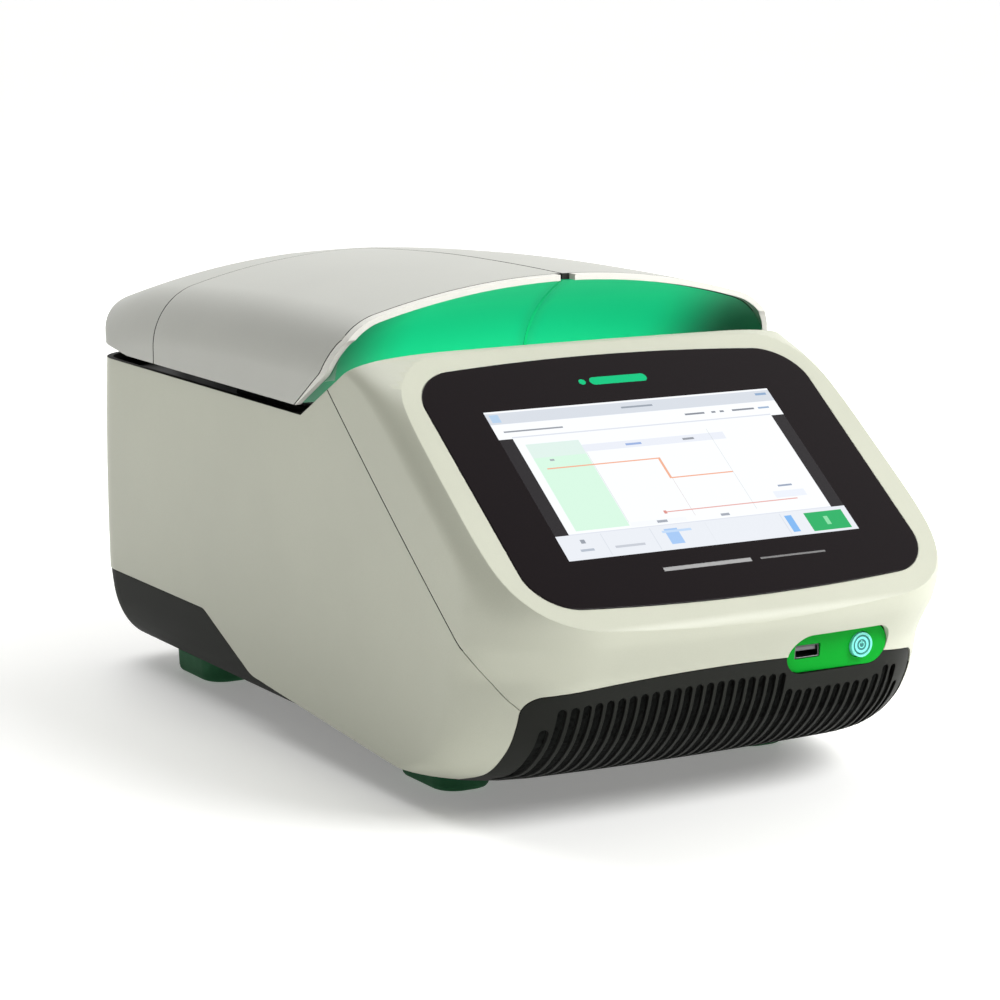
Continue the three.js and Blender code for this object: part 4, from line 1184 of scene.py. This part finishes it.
class BuildLids(bpy.types.Operator):
    """Builds both half lids with their bands and lit coves"""

    bl_idname = "cycler.build_lids"
    bl_label = "Lids"

    def execute(self, context):
        lids = context.scene.cycler_lids
        dark = tuple(context.scene.cycler_case.dark)
        # The last finish is painted shade: the lids' inner faces and seam walls go near-black.
        make_lids(moulded("lid_plastic", tuple(lids.colour), 0.40, 0.22, 0.6, 0.5),
                  moulded("band_plastic", tuple(lids.band), 0.42, 0.2, 0.4, 0.45),
                  lit_cove("cove_painted_light", tuple(lids.light)),
                  moulded("lid_inner_painted_shade", shade(dark, 1.4), 0.65, 0.5, 0.4, 0.3))
        return {"FINISHED"}


class BuildBlocks(bpy.types.Operator):
    """Builds the machined sample blocks"""

    bl_idname = "cycler.build_blocks"
    bl_label = "Sample Blocks"

    def execute(self, context):
        blocks = context.scene.cycler_blocks
        make_blocks(blocks.columns, blocks.rows, blocks.pitch,
                    metal("block_aluminium", (0.66, 0.68, 0.70), 0.3))
        return {"FINISHED"}


class FinishInside(bpy.types.Operator):
    """Gives the carried-over pieces their finishes"""

    bl_idname = "cycler.finish_inside"
    bl_label = "Inner Pieces and Sockets"

    def execute(self, context):
        dark = tuple(context.scene.cycler_case.dark)
        finishes = {
            "dark_plastic": moulded("panel_plastic", dark, 0.52, 0.45, 0.4, 0.4),
            "black_plastic": moulded("black_plastic", (0.016, 0.016, 0.018), 0.45, 0.4, 0.4, 0.45),
            "steel": metal("plated_steel", (0.50, 0.51, 0.52), 0.34, (1, 30, 1)),
            "aluminium": metal("machined_aluminium", (0.68, 0.69, 0.71), 0.30, (30, 1, 1)),
            "circuit_board": circuit("circuit_board", (0.008, 0.11, 0.035)),
            "ceramic": unglazed("white_ceramic", (0.80, 0.79, 0.74)),
            "seal_rubber": rubber("seal_rubber", (0.045, 0.046, 0.048)),
        }
        special = {
            # Painted shade: the bulkhead is near-black so the inside reads dark through the slots.
            "fan_bulkhead": metal("bulkhead_painted_shade", (0.03, 0.03, 0.032), 0.5),
            # Painted shade: the socket's steel is darkened so the port reads as a dark hole.
            "usb_socket": metal("socket_steel_painted_shade", (0.16, 0.16, 0.165), 0.4),
            "intake_screen": foam("filter_foam", (0.010, 0.011, 0.010)),
        }
        for node, thing in frame["nodes"].items():
            finish = special.get(node) or finishes.get(SLOT[node])
            if finish is None:
                continue
            thing.data.materials.clear()
            thing.data.materials.append(finish)
        return {"FINISHED"}


class BuildStage(bpy.types.Operator):
    """Sets the floor, the soft lights and the camera"""

    bl_idname = "cycler.build_stage"
    bl_label = "Stage"

    def execute(self, context):
        stage = context.scene.cycler_stage
        floor_finish = Recipe("pale_floor")
        drift = floor_finish.noise(3, 3)
        x, y, z = floor_finish.axes()
        # The floor glows less within about 200 to 650 mm of the machine: a painted soft shadow round it, and
        # less bounce onto its sides.
        painted_shadow_fade = (x * x + y * y).root().rising(200, 650)
        floor_finish.set(Base_Color=floor_finish.mix(drift, (0.86, 0.86, 0.85), (0.89, 0.89, 0.88)),
                         Roughness=0.5 + drift * 0.1, Specular_IOR_Level=0.2,
                         Emission_Color=floor_finish.mix(painted_shadow_fade, (0.25, 0.25, 0.245), (0.64, 0.64, 0.63)),
                         Emission_Strength=1.0)
        mesh = bpy.data.meshes.new("floor")
        corners = ((-1, -1), (1, -1), (1, 1), (-1, 1))
        points = [(FLOOR_REACH * a, FLOOR_REACH * b, FLOOR_DROP) for a, b in corners]
        mesh.from_pydata(points, [], [(0, 1, 2, 3)])
        mesh.materials.append(floor_finish.material)
        floor = bpy.data.objects.new("floor", mesh)
        context.scene.collection.objects.link(floor)

        context.scene.world = pale_surround(stage.sky, stage.shade)
        context.scene.view_settings.view_transform = "Standard"

        aim = Vector((0, 0, 0.11))
        for name, place, size, power in (
            ("key_light", Vector((1.0, -1.5, 1.5)), 1.3, stage.key),
            ("fill_light", Vector((-1.6, -0.9, 0.8)), 1.2, stage.fill),
            ("top_light", Vector((-0.3, 1.0, 1.9)), 1.4, stage.key * 0.4),
        ):
            lamp = bpy.data.lights.new(name, "AREA")
            lamp.shape = "DISK"
            lamp.size = size
            lamp.energy = power
            light = bpy.data.objects.new(name, lamp)
            light.location = place
            light.rotation_euler = (aim - place).to_track_quat("-Z", "Y").to_euler()
            context.scene.collection.objects.link(light)

        camera = bpy.data.objects.new("camera", bpy.data.cameras.new("camera"))
        camera.data.lens = stage.lens
        camera.data.sensor_width = 36
        camera.data.clip_end = 30
        camera.location = (-0.7820, -1.3649, 0.3949)
        camera.rotation_euler = (aim - camera.location).to_track_quat("-Z", "Y").to_euler()
        context.scene.collection.objects.link(camera)
        context.scene.camera = camera
        return {"FINISHED"}


GROUPS = {
    "cycler_case": CyclerCase, "cycler_grille": CyclerGrille, "cycler_controls": CyclerControls,
    "cycler_lids": CyclerLids, "cycler_blocks": CyclerBlocks, "cycler_stage": CyclerStage,
}
STEPS = (BuildCase, BuildGrille, BuildControls, BuildLids, BuildBlocks, FinishInside, BuildStage)


class CyclerPanel(bpy.types.Panel):
    """The machine's settings and build steps"""

    bl_idname = "VIEW3D_PT_cycler"
    bl_label = "Thermal Cycler"
    bl_space_type = "VIEW_3D"
    bl_region_type = "UI"
    bl_category = "Cycler"

    def draw(self, context):
        for name, group in GROUPS.items():
            box = self.layout.box()
            settings = getattr(context.scene, name)
            for key in group.__annotations__:
                box.prop(settings, key)
        for step in STEPS:
            self.layout.operator(step.bl_idname)


def register():
    for made in (*GROUPS.values(), *STEPS, CyclerPanel):
        bpy.utils.register_class(made)
    for name, group in GROUPS.items():
        setattr(bpy.types.Scene, name, PointerProperty(type=group))


def unregister():
    for name in GROUPS:
        delattr(bpy.types.Scene, name)
    for made in (CyclerPanel, *reversed(STEPS), *GROUPS.values()):
        bpy.utils.unregister_class(made)


def main():
    register()
    bpy.ops.cycler.build_case()
    bpy.ops.cycler.build_grille()
    bpy.ops.cycler.build_controls()
    bpy.ops.cycler.build_lids()
    bpy.ops.cycler.build_blocks()
    bpy.ops.cycler.finish_inside()
    bpy.ops.cycler.build_stage()


if __name__ == "__main__":
    main()
